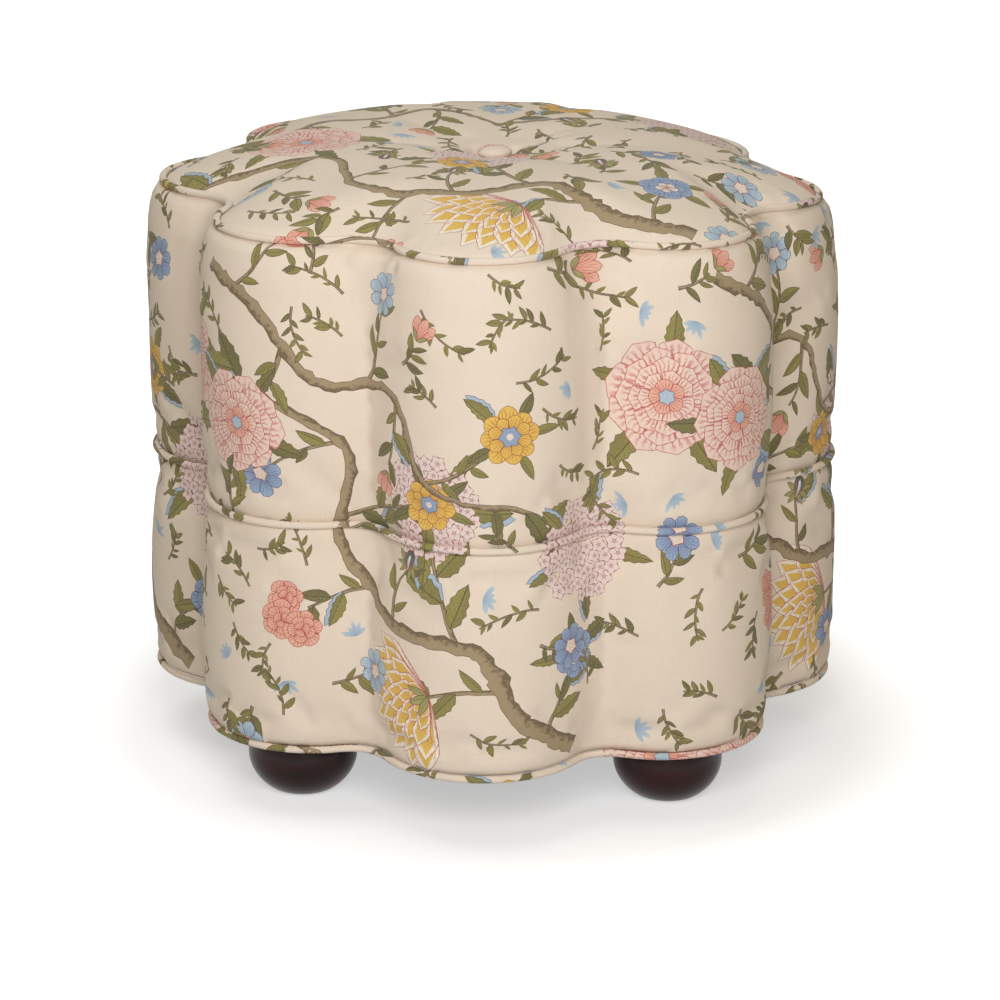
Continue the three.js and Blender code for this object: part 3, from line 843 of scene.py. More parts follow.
@dataclass
class PrintedCloth:
    """A piece of printed linen whose faces follow the printed shapes."""

    name: str
    surface: Surface
    domain: np.ndarray
    shapes: Sequence[Shape]
    spacing: tuple[float, float] = (8 * MM, 8 * MM)
    thickness: float = 1.1 * MM
    close: np.ndarray = field(default_factory=lambda: np.zeros((0, 2)))

    def grid(self) -> np.ndarray:
        """Spreads points evenly, inside the domain's corners, with closer ones where it bends sharply.

        Returns:
            The points.
        """
        low, high = self.domain.min(0), self.domain.max(0)
        steps = np.maximum(2, ((high - low) / np.array(self.spacing)).round().astype(int))
        across, up = np.meshgrid(np.arange(1, steps[0]), np.arange(1, steps[1]), indexing="ij")
        even = np.stack([across + 0.4 * (up % 2) - 0.2, up], 2).reshape(-1, 2) / steps
        return np.concatenate([low + (high - low) * even, self.close])

    def printed(self) -> tuple[np.ndarray, np.ndarray, np.ndarray]:
        """Lays the shapes on each other, leaves out the lines that others hide, and cuts the cloth up.

        Returns:
            Flat points, triangles, and the number of each triangle's topmost shape, or -1.
        """
        low, high = self.domain.min(0), self.domain.max(0)
        outlines = [s.points for s in self.shapes]
        near = [i for i, o in enumerate(outlines) if (o.max(0) > low).all() and (o.min(0) < high).all()]
        outlines = [self.domain, *(outlines[i] for i in near)]
        starts = np.concatenate([[0], np.cumsum([len(o) for o in outlines])])
        loops = [list(range(a, b)) for a, b in zip(starts, starts[1:])]
        none = np.zeros((0, 2), int)
        flat, faces, inside, _ = triangulate(np.concatenate(outlines), none, loops)
        number = np.array([-1, *near])
        topmost = number[[max(ids) for ids in inside]]
        edges, one, two = sides_of(faces)
        seen = (two < 0) | (topmost[one] != topmost[two])
        used, edges = np.unique(edges[seen], return_inverse=True)
        points = np.concatenate([self.domain, flat[used], self.grid()])
        edges = edges.reshape(-1, 2) + len(self.domain)
        flat, faces, _, _ = triangulate(points, edges, [loops[0]])
        return flat, faces, self.topmost(flat[faces].mean(1), near)

    def topmost(self, places: np.ndarray, near: Sequence[int]) -> np.ndarray:
        """Finds the topmost shape at each place.

        Args:
            places: flat places.
            near: the numbers of the shapes near the cloth.

        Returns:
            The number of each place's shape, or -1.
        """
        order = np.argsort(places[:, 0])
        sorted_places, found = places[order], np.full(len(places), -1)
        for k in near:
            outline = self.shapes[k].points
            (left, foot), (right, head) = outline.min(0), outline.max(0)
            a, b = np.searchsorted(sorted_places[:, 0], (left, right))
            some = a + np.flatnonzero((sorted_places[a:b, 1] > foot) & (sorted_places[a:b, 1] < head))
            found[some[within(sorted_places[some], outline)]] = k
        out = np.empty(len(places), int)
        out[order] = found
        return out

    def lining(self, flat: np.ndarray, rim: np.ndarray) -> tuple[list[int], np.ndarray, np.ndarray]:
        """Makes the cloth's plain back.

        Args:
            flat: the front's points.
            rim: the front's edges at the rim.

        Returns:
            The front's points at the rim in order, and the back's points and triangles. The back's first
            points are the rim's, in the same order.
        """
        after = dict(rim.tolist())
        loop = [int(rim[0, 0])]
        while len(loop) < len(rim):
            loop.append(after[loop[-1]])
        points = np.concatenate([flat[loop], self.grid()])
        back, faces, _, old = triangulate(points, np.zeros((0, 2), int), [list(range(len(loop)))])
        place = {min(ids): k for k, ids in enumerate(old) if ids and min(ids) < len(loop)}
        order = [place[k] for k in range(len(loop))]
        order += sorted(set(range(len(back))) - set(order))
        turned = np.empty(len(back), int)
        turned[order] = np.arange(len(back))
        return loop, back[order], turned[faces]

    def build(self, material: bpy.types.Material) -> bpy.types.Object:
        """Makes the shell, its normals and the values that its material reads.

        Args:
            material: the linen.

        Returns:
            The cloth.
        """
        flat, faces, topmost = self.printed()
        edges, _, two = sides_of(faces)
        loop, back, back_faces = self.lining(flat, edges[two < 0])
        n = len(flat)
        here, there = np.array(loop), n + np.arange(len(loop))
        follow, beyond = np.roll(here, -1), np.roll(there, -1)
        walls = np.concatenate([np.stack([follow, here, there], 1), np.stack([follow, there, beyond], 1)])
        every = np.concatenate([faces, back_faces[:, ::-1] + n, walls])
        out, under = self.surface.normals(flat), self.surface.normals(back)
        points = np.concatenate([self.surface.at(flat), self.surface.at(back) - under * self.thickness])
        made = new_object(self.name, points, every, material)
        self.mark(made.data, np.concatenate([flat, back]), every, topmost)
        made.data.normals_split_custom_set_from_vertices(np.concatenate([out, -under]).tolist())
        return made

    def mark(self, mesh: bpy.types.Mesh, flat: np.ndarray, every: np.ndarray, topmost: np.ndarray) -> None:
        """Writes each corner's ink, its place in its shape and its place on the cloth.

        Args:
            mesh: the cloth's mesh.
            flat: where its points lie on the flat cloth.
            every: its triangles, the printed ones first.
            topmost: the number of each printed triangle's shape, or -1.
        """
        shape = np.full(len(every), -1)
        shape[: len(topmost)] = topmost
        ink, heart, motif = (np.zeros((len(every), 3, width)) for width in (4, 4, 3))
        order = np.argsort(shape, kind="stable")
        numbers, starts = np.unique(shape[order], return_index=True)
        for k, at in zip(numbers, np.split(order, starts[1:])):
            if k < 0:
                continue
            one = self.shapes[k]
            ink[at], heart[at] = one.ink.value
            motif[at, :, :2] = one.local(flat[every[at]].reshape(-1, 2)).reshape(-1, 3, 2)
            motif[at, :, 2] = one.kind.value
        for name, values in (("ink", ink), ("heart", heart), ("motif", motif)):
            colour = values.shape[2] == 4
            made = mesh.attributes.new(name, "FLOAT_COLOR" if colour else "FLOAT_VECTOR", "CORNER")
            made.data.foreach_set("color" if colour else "vector", values.astype(np.float32).ravel())
        weave = mesh.uv_layers.new(name="cloth")
        weave.data.foreach_set("uv", flat[every].astype(np.float32).ravel())


def lathe(name: str, profile: Sequence, centre: Sequence[float], material: bpy.types.Material,
          sides: int = 72) -> bpy.types.Object:
    """Makes a turned piece about an upright axis.

    Args:
        name: its name.
        profile: its radius and height at each point, from near the axis to near the axis.
        centre: where the axis is.
        material: its material.
        sides: how many points go round.

    Returns:
        The object.
    """
    turns = np.arange(sides) * FULL_TURN / sides
    rings = [np.column_stack([centre + circle(turns, radius), np.full(sides, height)])
             for radius, height in profile]
    return grid_object(name, np.array(rings), material, closed=False)

# Materials


class Nodes:
    """A short way to write a node tree."""

    def __init__(self, tree: bpy.types.NodeTree) -> None:
        """Holds the tree that the nodes go into."""
        self.tree = tree

    def give(self, socket: bpy.types.NodeSocket, value: object) -> None:
        """Links a socket to another, or sets its value.

        Args:
            socket: the input.
            value: what goes into it, a socket or a plain value.
        """
        if isinstance(value, bpy.types.NodeSocket):
            self.tree.links.new(value, socket)
        else:
            socket.default_value = value

    def add(self, kind: str, inputs: dict | None = None, **settings: object) -> bpy.types.Node:
        """Adds a node.

        Args:
            kind: its type, without the leading ShaderNode.
            inputs: its inputs by name or number, each a value or a socket to link.
            settings: its own properties.

        Returns:
            The node.
        """
        node = self.tree.nodes.new(kind if kind.startswith("NodeGroup") else "ShaderNode" + kind)
        for key, value in settings.items():
            setattr(node, key, value)
        for key, value in (inputs or {}).items():
            self.give(node.inputs[key], value)
        return node

    def math(self, operation: str, *values: object, clamp: bool = False) -> bpy.types.NodeSocket:
        """The outcome of a sum of up to three numbers or sockets."""
        return self.add("Math", dict(enumerate(values)), operation=operation, use_clamp=clamp).outputs[0]

    def times(self, *values: object) -> bpy.types.NodeSocket:
        """The product of numbers or sockets."""
        return reduce(lambda a, b: self.math("MULTIPLY", a, b), values)

    def most(self, *values: object) -> bpy.types.NodeSocket:
        """The greatest of numbers or sockets."""
        return reduce(lambda a, b: self.math("MAXIMUM", a, b), values)

    def blend(self, value: object, times: object, plus: object) -> bpy.types.NodeSocket:
        """A value times one number or socket, plus another."""
        return self.math("MULTIPLY_ADD", value, times, plus)

    def mix(self, share: object, first: object, second: object) -> bpy.types.NodeSocket:
        """Mixes two colours.

        Args:
            share: how much of the second there is, from 0 to 1.
            first: the first colour, a value or a socket.
            second: the second.

        Returns:
            The colour's socket.
        """
        node = self.add("Mix", data_type="RGBA")
        for key, value in (("Factor", share), ("A", first), ("B", second)):
            wanted = (s for s in node.inputs if s.name == key and (s.type == "RGBA") == (key != "Factor"))
            self.give(next(wanted), value)
        return next(s for s in node.outputs if s.type == "RGBA")

    def band(self, value: object, low: float, high: float) -> bpy.types.NodeSocket:
        """A number that goes from 0 to 1 as the value goes from low to high."""
        inputs = {"Value": value, "From Min": low, "From Max": high}
        return self.add("MapRange", inputs, clamp=True).outputs[0]

    def noise(self, place: bpy.types.NodeSocket, scale: float, detail: float = 2.0,
              distortion: float = 0.0) -> bpy.types.NodeSocket:
        """Soft noise from 0 to 1, at a place."""
        inputs = {"Vector": place, "Scale": scale, "Detail": detail, "Distortion": distortion}
        return self.add("TexNoise", inputs).outputs["Fac"]

    def drawn(self, place: bpy.types.NodeSocket, stretch: object) -> bpy.types.NodeSocket:
        """A place times a number along each axis, which draws a pattern out along the small ones."""
        return self.add("VectorMath", {0: place, 1: stretch}, operation="MULTIPLY").outputs[0]

    def bump(self, height: bpy.types.NodeSocket, strength: float, distance: float) -> bpy.types.NodeSocket:
        """The normals of a surface in small relief."""
        return self.add("Bump", {"Height": height, "Strength": strength, "Distance": distance}).outputs[0]


def shared_group(name: str, inputs: dict, outputs: dict,
                 fill: Callable[[Nodes, object], dict]) -> bpy.types.NodeTree:
    """Makes a node group once.

    Args:
        name: its name.
        inputs: the name and type of each input, with its value or None.
        outputs: the name and type of each output.
        fill: makes the nodes in the group from its inputs, and returns the socket for each output.

    Returns:
        The group.
    """
    if name in bpy.data.node_groups:
        return bpy.data.node_groups[name]
    tree = bpy.data.node_groups.new(name, "ShaderNodeTree")
    for label, (kind, value) in inputs.items():
        socket = tree.interface.new_socket(label, in_out="INPUT", socket_type=kind)
        if value is not None:
            socket.default_value = value
    for label, kind in outputs.items():
        tree.interface.new_socket(label, in_out="OUTPUT", socket_type=kind)
    nodes = Nodes(tree)
    source, end = nodes.add("NodeGroupInput"), nodes.add("NodeGroupOutput")
    for label, socket in fill(nodes, source.outputs).items():
        tree.links.new(socket, end.inputs[label])
    return tree


FLOAT, COLOUR, VECTOR = "NodeSocketFloat", "NodeSocketColor", "NodeSocketVector"


def weave_group() -> bpy.types.NodeTree:
    """Threads that cross, with thicker slubs here and there, as a height and a shade from 0 to 1.

    Returns:
        The group.
    """

    def fill(nodes: Nodes, given: object) -> dict:
        """Makes the nodes.

        Args:
            nodes: where they go.
            given: the group's inputs.

        Returns:
            The socket for each output.
        """
        place = given["Place"]
        thread = {"Vector": place, "Scale": given["Threads"], "Distortion": 0.6, "Detail": 1.0,
                  "Detail Scale": 0.4}
        warp, weft = (nodes.add("TexWave", thread, bands_direction=axis).outputs["Fac"] for axis in "XY")
        slubs = [nodes.band(nodes.noise(nodes.drawn(place, stretch), 900.0), 0.55, 0.8)
                 for stretch in ((0.055, 1.0, 1.0), (1.0, 0.055, 1.0))]
        slub = nodes.most(*slubs)
        height = nodes.blend(slub, 0.8, nodes.math("ADD", warp, weft))
        patch = nodes.noise(place, 38.0, 3.0)
        shade = nodes.math("ADD", nodes.times(slub, 0.5), nodes.times(patch, 0.5))
        return {"Height": nodes.times(height, 0.4), "Shade": shade}

    return shared_group("weave", {"Place": (VECTOR, None), "Threads": (FLOAT, 520.0)},
                        {"Height": FLOAT, "Shade": FLOAT}, fill)


def grain_group() -> bpy.types.NodeTree:
    """Long wood grain with fine pores, as a shade from 0 to 1 and a height.

    Returns:
        The group.
    """

    def fill(nodes: Nodes, given: object) -> dict:
        """Makes the nodes.

        Args:
            nodes: where they go.
            given: the group's inputs.

        Returns:
            The socket for each output.
        """
        drawn = nodes.drawn(given["Place"], given["Stretch"])
        rings, pores = nodes.noise(drawn, 90.0, 6.0, 1.2), nodes.noise(drawn, 900.0)
        shade = nodes.blend(nodes.band(rings, 0.3, 0.7), 0.75, nodes.times(pores, 0.25))
        return {"Shade": shade, "Height": nodes.times(nodes.band(pores, 0.45, 0.7), -1.0)}

    return shared_group("grain", {"Place": (VECTOR, None), "Stretch": (VECTOR, (1.0, 1.0, 0.08))},
                        {"Shade": FLOAT, "Height": FLOAT}, fill)


def print_group() -> bpy.types.NodeTree:
    """The printed ink: veins, streaks and stipple drawn inside each shape, and how much ink there is.

    Returns:
        The group.
    """

    def fill(nodes: Nodes, given: object) -> dict:
        """Makes the nodes.

        Args:
            nodes: where they go.
            given: the group's inputs.

        Returns:
            The socket for each output.
        """
        x, y, kind = nodes.add("SeparateXYZ", {0: given["Motif"]}).outputs
        band, blend, math_, most, times = nodes.band, nodes.blend, nodes.math, nodes.most, nodes.times
        side = math_("ABSOLUTE", y)
        grit, cloud = nodes.noise(given["Place"], 1500.0), nodes.noise(given["Place"], 260.0)

        def only(wanted: Kind) -> bpy.types.NodeSocket:
            """1 in shapes of a kind, and 0 in the others."""
            return math_("COMPARE", kind, float(wanted.value), 0.4)

        rib = band(side, 0.1, 0.04)
        slant = math_("FRACT", blend(x, 3.4, times(side, -1.6)))
        veins = band(math_("ABSOLUTE", math_("SUBTRACT", slant, 0.5)), 0.42, 0.5)
        shade = times(band(blend(cloud, 0.8, y), 0.5, 0.0), 0.3)
        leaf = times(only(Kind.LEAF), most(rib, times(veins, 0.75), shade))
        turn = math_("ARCTAN2", y, math_("ADD", x, 1.3))
        fan = math_("SINE", blend(turn, 30.0, times(cloud, 9.0)))
        foot = band(blend(cloud, 0.9, x), 1.35, 0.75)
        streak = times(only(Kind.PETAL), band(fan, -0.1, 0.7), foot, 0.66)
        blush = times(only(Kind.PETAL), band(x, 0.1, -0.8), 0.6)
        low = blend(cloud, 1.7, times(y, 0.55))
        bark = times(only(Kind.BARK), most(band(low, 0.85, 0.45), band(grit, 0.58, 0.64)), 0.85)
        radius = math_("SQRT", math_("ADD", times(x, x), times(y, y)))
        lobes = math_("COSINE", times(math_("ARCTAN2", y, x), 5.0))
        edge = math_("DIVIDE", radius, blend(lobes, 0.16, 1.0))
        eye = band(math_("ABSOLUTE", math_("SUBTRACT", radius, 0.17)), 0.09, 0.04)
        rays = times(band(lobes, -0.8, -0.98), band(radius, 0.55, 0.4))
        floret = times(only(Kind.FLORET), most(band(edge, 0.86, 0.93), times(most(eye, rays), 0.75)))
        dots = times(only(Kind.DISC), band(grit, 0.52, 0.6), 0.8)
        colour = nodes.mix(most(leaf, streak, blush, bark, floret, dots), given["Ink"], given["Heart"])
        worn = math_("SUBTRACT", 1.0, times(band(grit, 0.5, 0.72), 0.3))
        return {"Colour": colour, "Cover": times(given["Alpha"], worn, 0.95)}

    return shared_group(
        "block print",
        {"Motif": (VECTOR, None), "Place": (VECTOR, None), "Ink": (COLOUR, None), "Heart": (COLOUR, None),
         "Alpha": (FLOAT, 0.0)},
        {"Colour": COLOUR, "Cover": FLOAT}, fill,
    )


def new_material(name: str) -> tuple[bpy.types.Material, Nodes, bpy.types.Node]:
    """Starts a material.

    Args:
        name: its name.

    Returns:
        The material, its nodes and its main shader.
    """
    material = bpy.data.materials.new(name)
    material.use_nodes = True
    nodes = Nodes(material.node_tree)
    return material, nodes, material.node_tree.nodes["Principled BSDF"]


def feed(nodes: Nodes, shader: bpy.types.Node, **inputs: object) -> None:
    """Gives a shader its inputs.

    Args:
        nodes: the nodes that it is among.
        shader: the shader.
        inputs: a socket or a plain value for each, with underscores in its name.
    """
    for key, value in inputs.items():
        nodes.give(shader.inputs[key.replace("_", " ")], value)


@dataclass(frozen=True)
class LinenFinish:
    """Matte slubby linen, printed where its mesh carries ink."""

    name: str = "printed linen"
    ground: tuple = linear(244, 230, 215)
    shadow: tuple = linear(237, 222, 203)

    def material(self) -> bpy.types.Material:
        """Makes the material.

        Returns:
            The material.
        """
        material, nodes, shader = new_material(self.name)
        place = nodes.add("UVMap", uv_map="cloth").outputs[0]
        weave = nodes.add("Group", {"Place": place}, node_tree=weave_group()).outputs
        ground = nodes.mix(nodes.band(weave["Shade"], 0.2, 0.9), self.ground, self.shadow)
        names = ("ink", "heart", "motif")
        ink, heart, motif = (nodes.add("Attribute", attribute_name=name).outputs for name in names)
        inputs = {"Place": place, "Ink": ink["Color"], "Alpha": ink["Alpha"], "Heart": heart["Color"],
                  "Motif": motif["Vector"]}
        printed = nodes.add("Group", inputs, node_tree=print_group()).outputs
        feed(
            nodes, shader,
            Base_Color=nodes.mix(printed["Cover"], ground, printed["Colour"]),
            Normal=nodes.bump(weave["Height"], 0.35, 0.25 * MM),
            Roughness=nodes.band(weave["Shade"], -6.0, 1.0),
            Sheen_Weight=0.12, Sheen_Roughness=0.5, Specular_IOR_Level=0.15,
        )
        return material


@dataclass(frozen=True)
class WoodFinish:
    """Wood with grain along one axis, bare or under varnish."""

    name: str
    dark: tuple
    light: tuple
    stretch: tuple = (1.0, 1.0, 0.08)
    roughness: tuple = (0.55, 0.75)
    coat: float = 0.0
    bump: float = 0.3
    specular: float = 0.5

    def material(self) -> bpy.types.Material:
        """Makes the material.

        Returns:
            The material.
        """
        material, nodes, shader = new_material(self.name)
        place = nodes.add("TexCoord").outputs["Object"]
        grain = nodes.add("Group", {"Place": place, "Stretch": self.stretch}, node_tree=grain_group()).outputs
        low, high = self.roughness
        feed(
            nodes, shader,
            Base_Color=nodes.mix(grain["Shade"], self.dark, self.light),
            Roughness=nodes.blend(grain["Shade"], high - low, low),
            Normal=nodes.bump(grain["Height"], self.bump, 0.1 * MM),
            Coat_Weight=self.coat, Coat_Roughness=0.22, Specular_IOR_Level=self.specular,
        )
        return material


@dataclass(frozen=True)
class PlyFinish:
    """Plywood, whose layers show as stripes on its edges."""

    name: str = "birch plywood"
    layer: float = 1.5 * MM
    dark: tuple = linear(190, 152, 106)
    light: tuple = linear(222, 190, 146)
    stripe: tuple = linear(150, 108, 70)

    def material(self) -> bpy.types.Material:
        """Makes the material.

        Returns:
            The material.
        """
        material, nodes, shader = new_material(self.name)
        place = nodes.add("TexCoord").outputs["Object"]
        inputs = {"Place": place, "Stretch": (0.08, 1.0, 1.0)}
        grain = nodes.add("Group", inputs, node_tree=grain_group()).outputs
        face = nodes.mix(grain["Shade"], self.dark, self.light)
        height = nodes.add("SeparateXYZ", {0: place}).outputs[2]
        layer = nodes.math("PINGPONG", height, self.layer)
        stripes = nodes.mix(nodes.band(layer, 0.4 * self.layer, 0.6 * self.layer), self.stripe, face)
        upright = nodes.add("SeparateXYZ", {0: nodes.add("NewGeometry").outputs["True Normal"]}).outputs[2]
        edge = nodes.band(nodes.math("ABSOLUTE", upright), 0.9, 0.7)
        feed(
            nodes, shader,
            Base_Color=nodes.mix(edge, face, stripes),
            Roughness=nodes.blend(grain["Shade"], 0.15, 0.65),
            Normal=nodes.bump(grain["Height"], 0.3, 0.1 * MM),
        )
        return material


@dataclass(frozen=True)
class FibreFinish:
    """Felt, wadding, foam, card, twine or woven cover cloth: a mottled colour over a fine rough surface."""

    name: str
    dark: tuple
    light: tuple
    scale: float
    height: float
    cells: bool = False
    sheen: float = 0.0

    def material(self) -> bpy.types.Material:
        """Makes the material.

        Returns:
            The material.
        """
        material, nodes, shader = new_material(self.name)
        place = nodes.add("TexCoord").outputs["Object"]
        if self.cells:
            fine = nodes.add("TexVoronoi", {"Vector": place, "Scale": self.scale}).outputs["Distance"]
        else:
            fine = nodes.noise(place, self.scale)
        broad = nodes.noise(place, self.scale / 14, 3.0)
        blend = nodes.math("ADD", nodes.times(fine, 0.6), nodes.times(broad, 0.4))
        feed(
            nodes, shader,
            Base_Color=nodes.mix(nodes.band(blend, 0.25, 0.75), self.dark, self.light),
            Normal=nodes.bump(fine, 0.5, self.height),
            Roughness=nodes.blend(blend, 0.15, 0.82),
            Sheen_Weight=self.sheen, Specular_IOR_Level=0.2,
        )
        return material


@dataclass(frozen=True)
class MetalFinish:
    """Zinc-plated steel with fine scratches and duller patches."""

    name: str = "zinc plate"
    dull: tuple = linear(176, 178, 182)
    bright: tuple = linear(208, 208, 204)

    def material(self) -> bpy.types.Material:
        """Makes the material.

        Returns:
            The material.
        """
        material, nodes, shader = new_material(self.name)
        place = nodes.add("TexCoord").outputs["Object"]
        patches = nodes.band(nodes.noise(place, 300.0, 4.0), 0.3, 0.7)
        scratches = nodes.noise(nodes.drawn(place, (1.0, 1.0, 0.05)), 2500.0)
        feed(
            nodes, shader,
            Base_Color=nodes.mix(patches, self.dull, self.bright),
            Roughness=nodes.blend(patches, 0.18, 0.28),
            Normal=nodes.bump(scratches, 0.15, 0.02 * MM),
            Metallic=1.0,
        )
        return material


class Finishes:
    """Every finish on the tuffet, by the slot that it stands for."""

    def __init__(self) -> None:
        """Makes them all."""
        made = {
            "linen": LinenFinish(),
            "foot_wood": WoodFinish("mahogany polish", linear(14, 3, 2), linear(52, 9, 5),
                                    stretch=(0.12, 1.0, 1.0), roughness=(0.24, 0.34), coat=0.06, bump=0.12,
                                    specular=0.22),
            "plywood": PlyFinish(),
            "pine": WoodFinish("pine", linear(196, 154, 102), linear(230, 198, 148)),
            "toggle_wood": WoodFinish("beech", linear(176, 132, 92), linear(206, 168, 126), (0.1, 1.0, 1.0)),
            "card": FibreFinish("upholsterer's card", linear(142, 112, 82), linear(172, 142, 108),
                                scale=700.0, height=0.1 * MM),
            "foam": FibreFinish("foam", linear(214, 198, 132), linear(238, 226, 170),
                                scale=900.0, height=0.4 * MM, cells=True),
            "wadding": FibreFinish("wadding", linear(226, 226, 220), linear(246, 246, 242),
                                   scale=220.0, height=0.9 * MM, sheen=0.3),
            "dust_cloth": FibreFinish("black cambric", linear(18, 18, 20), linear(44, 44, 48),
                                      scale=2200.0, height=0.2 * MM, cells=True),
            "felt": FibreFinish("felt", linear(44, 38, 33), linear(72, 64, 56),
                                scale=1400.0, height=0.3 * MM, sheen=0.4),
            "twine": FibreFinish("twine", linear(164, 138, 98), linear(206, 184, 142),
                                 scale=1600.0, height=0.2 * MM),
            "zinc": MetalFinish(),
        }
        self.by_slot = {slot: finish.material() for slot, finish in made.items()}

    def dress_solids(self, record: dict) -> None:
        """Gives every solid that stays the finish of its slot.

        Args:
            record: the part's record, which names each solid's slot.
        """
        for part in record["subparts"]:
            solid = frame["nodes"][part["node"]]
            solid.data.materials.clear()
            solid.data.materials.append(self.by_slot[part["material_slot"]])


def seat(piece: bpy.types.Object, slot: str, *nodes: str) -> bpy.types.Object:
    """Fixes a piece to the tuffet's one body, in place of the solids that it stands for.

    Args:
        piece: the piece.
        slot: its finish's slot; not used.
        nodes: the solids.

    Returns:
        The piece.
    """
    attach(piece, BODY)
    if nodes:
        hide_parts(*nodes)
    return piece


# Upholstery


@dataclass
class Upholstery:
    """The bands, the top cover, the padding under them and the piping in their seams.

    The piping's moves are how far out and up each row goes. The edge's tuck is how far in and down it goes.
    The tied rows and rings, the folds' reach and the creases' reach and depth are in millimetres. The sag
    and the lean start above a height, and grow over so much more.
    """

    finishes: Finishes
    outline: Outline = field(default_factory=Outline)
    piping_radius: float = 2.65 * MM
    piping_moves: tuple = (("top_piping", 1.5 * MM, 1.2 * MM), ("middle_piping", 2.0 * MM, 0.0),
                           ("bottom_piping", 0.0, 1.3 * MM))
    strip_lifts: tuple = (90 * MM, 210 * MM, 300 * MM)
    strip_leans: tuple = (0.09, -0.07, -0.05)
    strip_joins: tuple = (4, 2, 2)
    wrapped: float = 0.97
    butt: float = 0.2 * MM
    seam_allowance: float = 12 * MM
    join_allowance: float = 15 * MM
    hem_width: float = 18 * MM
    hem_lift: float = 1.6 * MM
    hem_roll: tuple = (3.9 * MM, 2.2 * MM)
    lining: float = 2 * MM
    layer: float = 6 * MM
    seam_draw_in: float = 2.8 * MM
    waist_draw_in: float = 3.4 * MM
    chest_draw_in: float = 3.0 * MM
    shoulder_draw_in: float = 4.6 * MM
    rim_draw_in: float = 13 * MM
    shoulder_drop: float = 38 * MM
    tuck: float = 4 * MM
    gap: float = 0.3 * MM
    rim_drop: float = 0.6 * MM
    edge_tuck: tuple = (0.6 * MM, 1.2 * MM)
    crown_rise: float = 30 * MM
    crown_power: float = 3.4
    valley_power: float = 3.6
    crown_slack: float = 3 * MM
    tuft_depth: float = 4 * MM
    tuft_spread: float = 44 * MM
    tuft_floor: float = 13.2 * MM
    tuck_depth: float = 4.7 * MM
    tuck_spread: float = 5 * MM
    tied_reach: float = 40 * MM
    tied_rows: tuple = (25, 20, 17, 15, 13.6, 12.6, 9, 0)
    tied_rings: tuple = (11.5, 12.8, 13.8, 15.2, 17, 20, 25)
    row_step: float = 9 * MM
    lower_bulge: float = 4 * MM
    upper_bulge: float = 3.5 * MM
    lower_fold: float = 0.7 * MM
    upper_fold: float = 2.2 * MM
    fold_width: float = 6 * MM
    swell_steps: int = 20
    swell_most: float = 4 * MM
    pressure: float = 4.0
    stiffness: float = 25.0
    bending: float = 2.0
    shrink: float = -0.015
    fold_offsets: tuple = (12 * MM, 27 * MM)
    fold_reach: tuple = (35, 85)
    fold_slant: float = 0.12
    band_ripples: tuple = (3.7 * MM, 9.1 * MM)
    ripple_height: float = 0.25 * MM
    ripple_reach: float = 9 * MM
    waves: tuple = (9, 13, 22)
    wave_length: float = 21 * MM
    wave_height: float = 0.3 * MM
    creases: int = 8
    crease_width: float = 4.5 * MM
    crease_reach: tuple = (30, 60)
    crease_depth: tuple = (0.9, 1.8)
    long_crease: float = 130 * MM
    cover_ripples: tuple = (4.1 * MM, 11 * MM)
    rim_ripple: tuple = (0.3 * MM, 10 * MM)
    dapple: tuple = (0.5 * MM, 31 * MM, 27 * MM)
    sag_above: tuple = (0.3, 0.12)
    lean_above: tuple = (0.25, 0.17)
    sag: float = 8 * MM
    sag_turn: float = math.radians(20)
    lean: float = 3 * MM
    foam_pressed: float = 3 * MM
    pressed_reach: float = 7 * MM
    foam_thickness: float = 11.5 * MM

    def __post_init__(self) -> None:
        """Reads the seams' heights from the solids and lays out where the rows of piping run."""
        low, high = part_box("lower_band")
        self.hem_height, self.lower_top = low.z, high.z
        low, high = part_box("upper_band")
        self.upper_foot, self.upper_top = low.z, high.z
        self.deck_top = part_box("deck_board")[1].z
        self.piping_lines = {}
        for name, out, lift in self.piping_moves:
            low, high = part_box(name)
            inset = self.outline.tip_radius - (high.x - self.piping_radius)
            self.piping_lines[name] = (inset - out, (low.z + high.z) / 2 + lift)
        inset, height = self.piping_lines["top_piping"]
        self.rim_inset = inset + self.piping_radius + self.gap
        self.rim_height = height - self.rim_drop
        self.rim_reach = self.outline.tip_radius - self.rim_inset

    def rim(self) -> np.ndarray:
        """The ring where the cover meets its piping, at height 0."""
        return self.outline.place([self.rim_inset], [0.0])[0]

    def lower_rows(self) -> tuple[np.ndarray, np.ndarray]:
        """Lays out the lower band's rows, from its foot to the middle seam.

        Returns:
            Their insets and heights.
        """
        foot = self.hem_height + self.hem_lift
        count = round((self.lower_top - foot) / self.row_step)
        t = np.linspace(0, 1, count + 1)
        return self.gap + self.seam_draw_in * t, foot + (self.lower_top - foot) * t

    def upper_rows(self) -> tuple[np.ndarray, np.ndarray]:
        """Lays out the upper band's rows, from the middle seam over the shoulder to the top edge.

        Returns:
            Their insets and heights.
        """
        shoulder = self.upper_top - self.shoulder_drop
        count = round((shoulder - self.upper_foot) / self.row_step)
        heights = np.linspace(self.upper_foot, shoulder, count + 1)
        known = [self.upper_foot, self.deck_top, shoulder]
        insets = np.interp(heights, known, [self.waist_draw_in, self.chest_draw_in, self.shoulder_draw_in])
        turn = np.linspace(0, math.pi / 2, 7)[1:]
        roll = self.rim_draw_in - self.shoulder_draw_in
        insets = np.concatenate([insets, self.shoulder_draw_in + roll * (1 - np.cos(turn))])
        return insets, np.concatenate([heights, shoulder + self.shoulder_drop * np.sin(turn)])

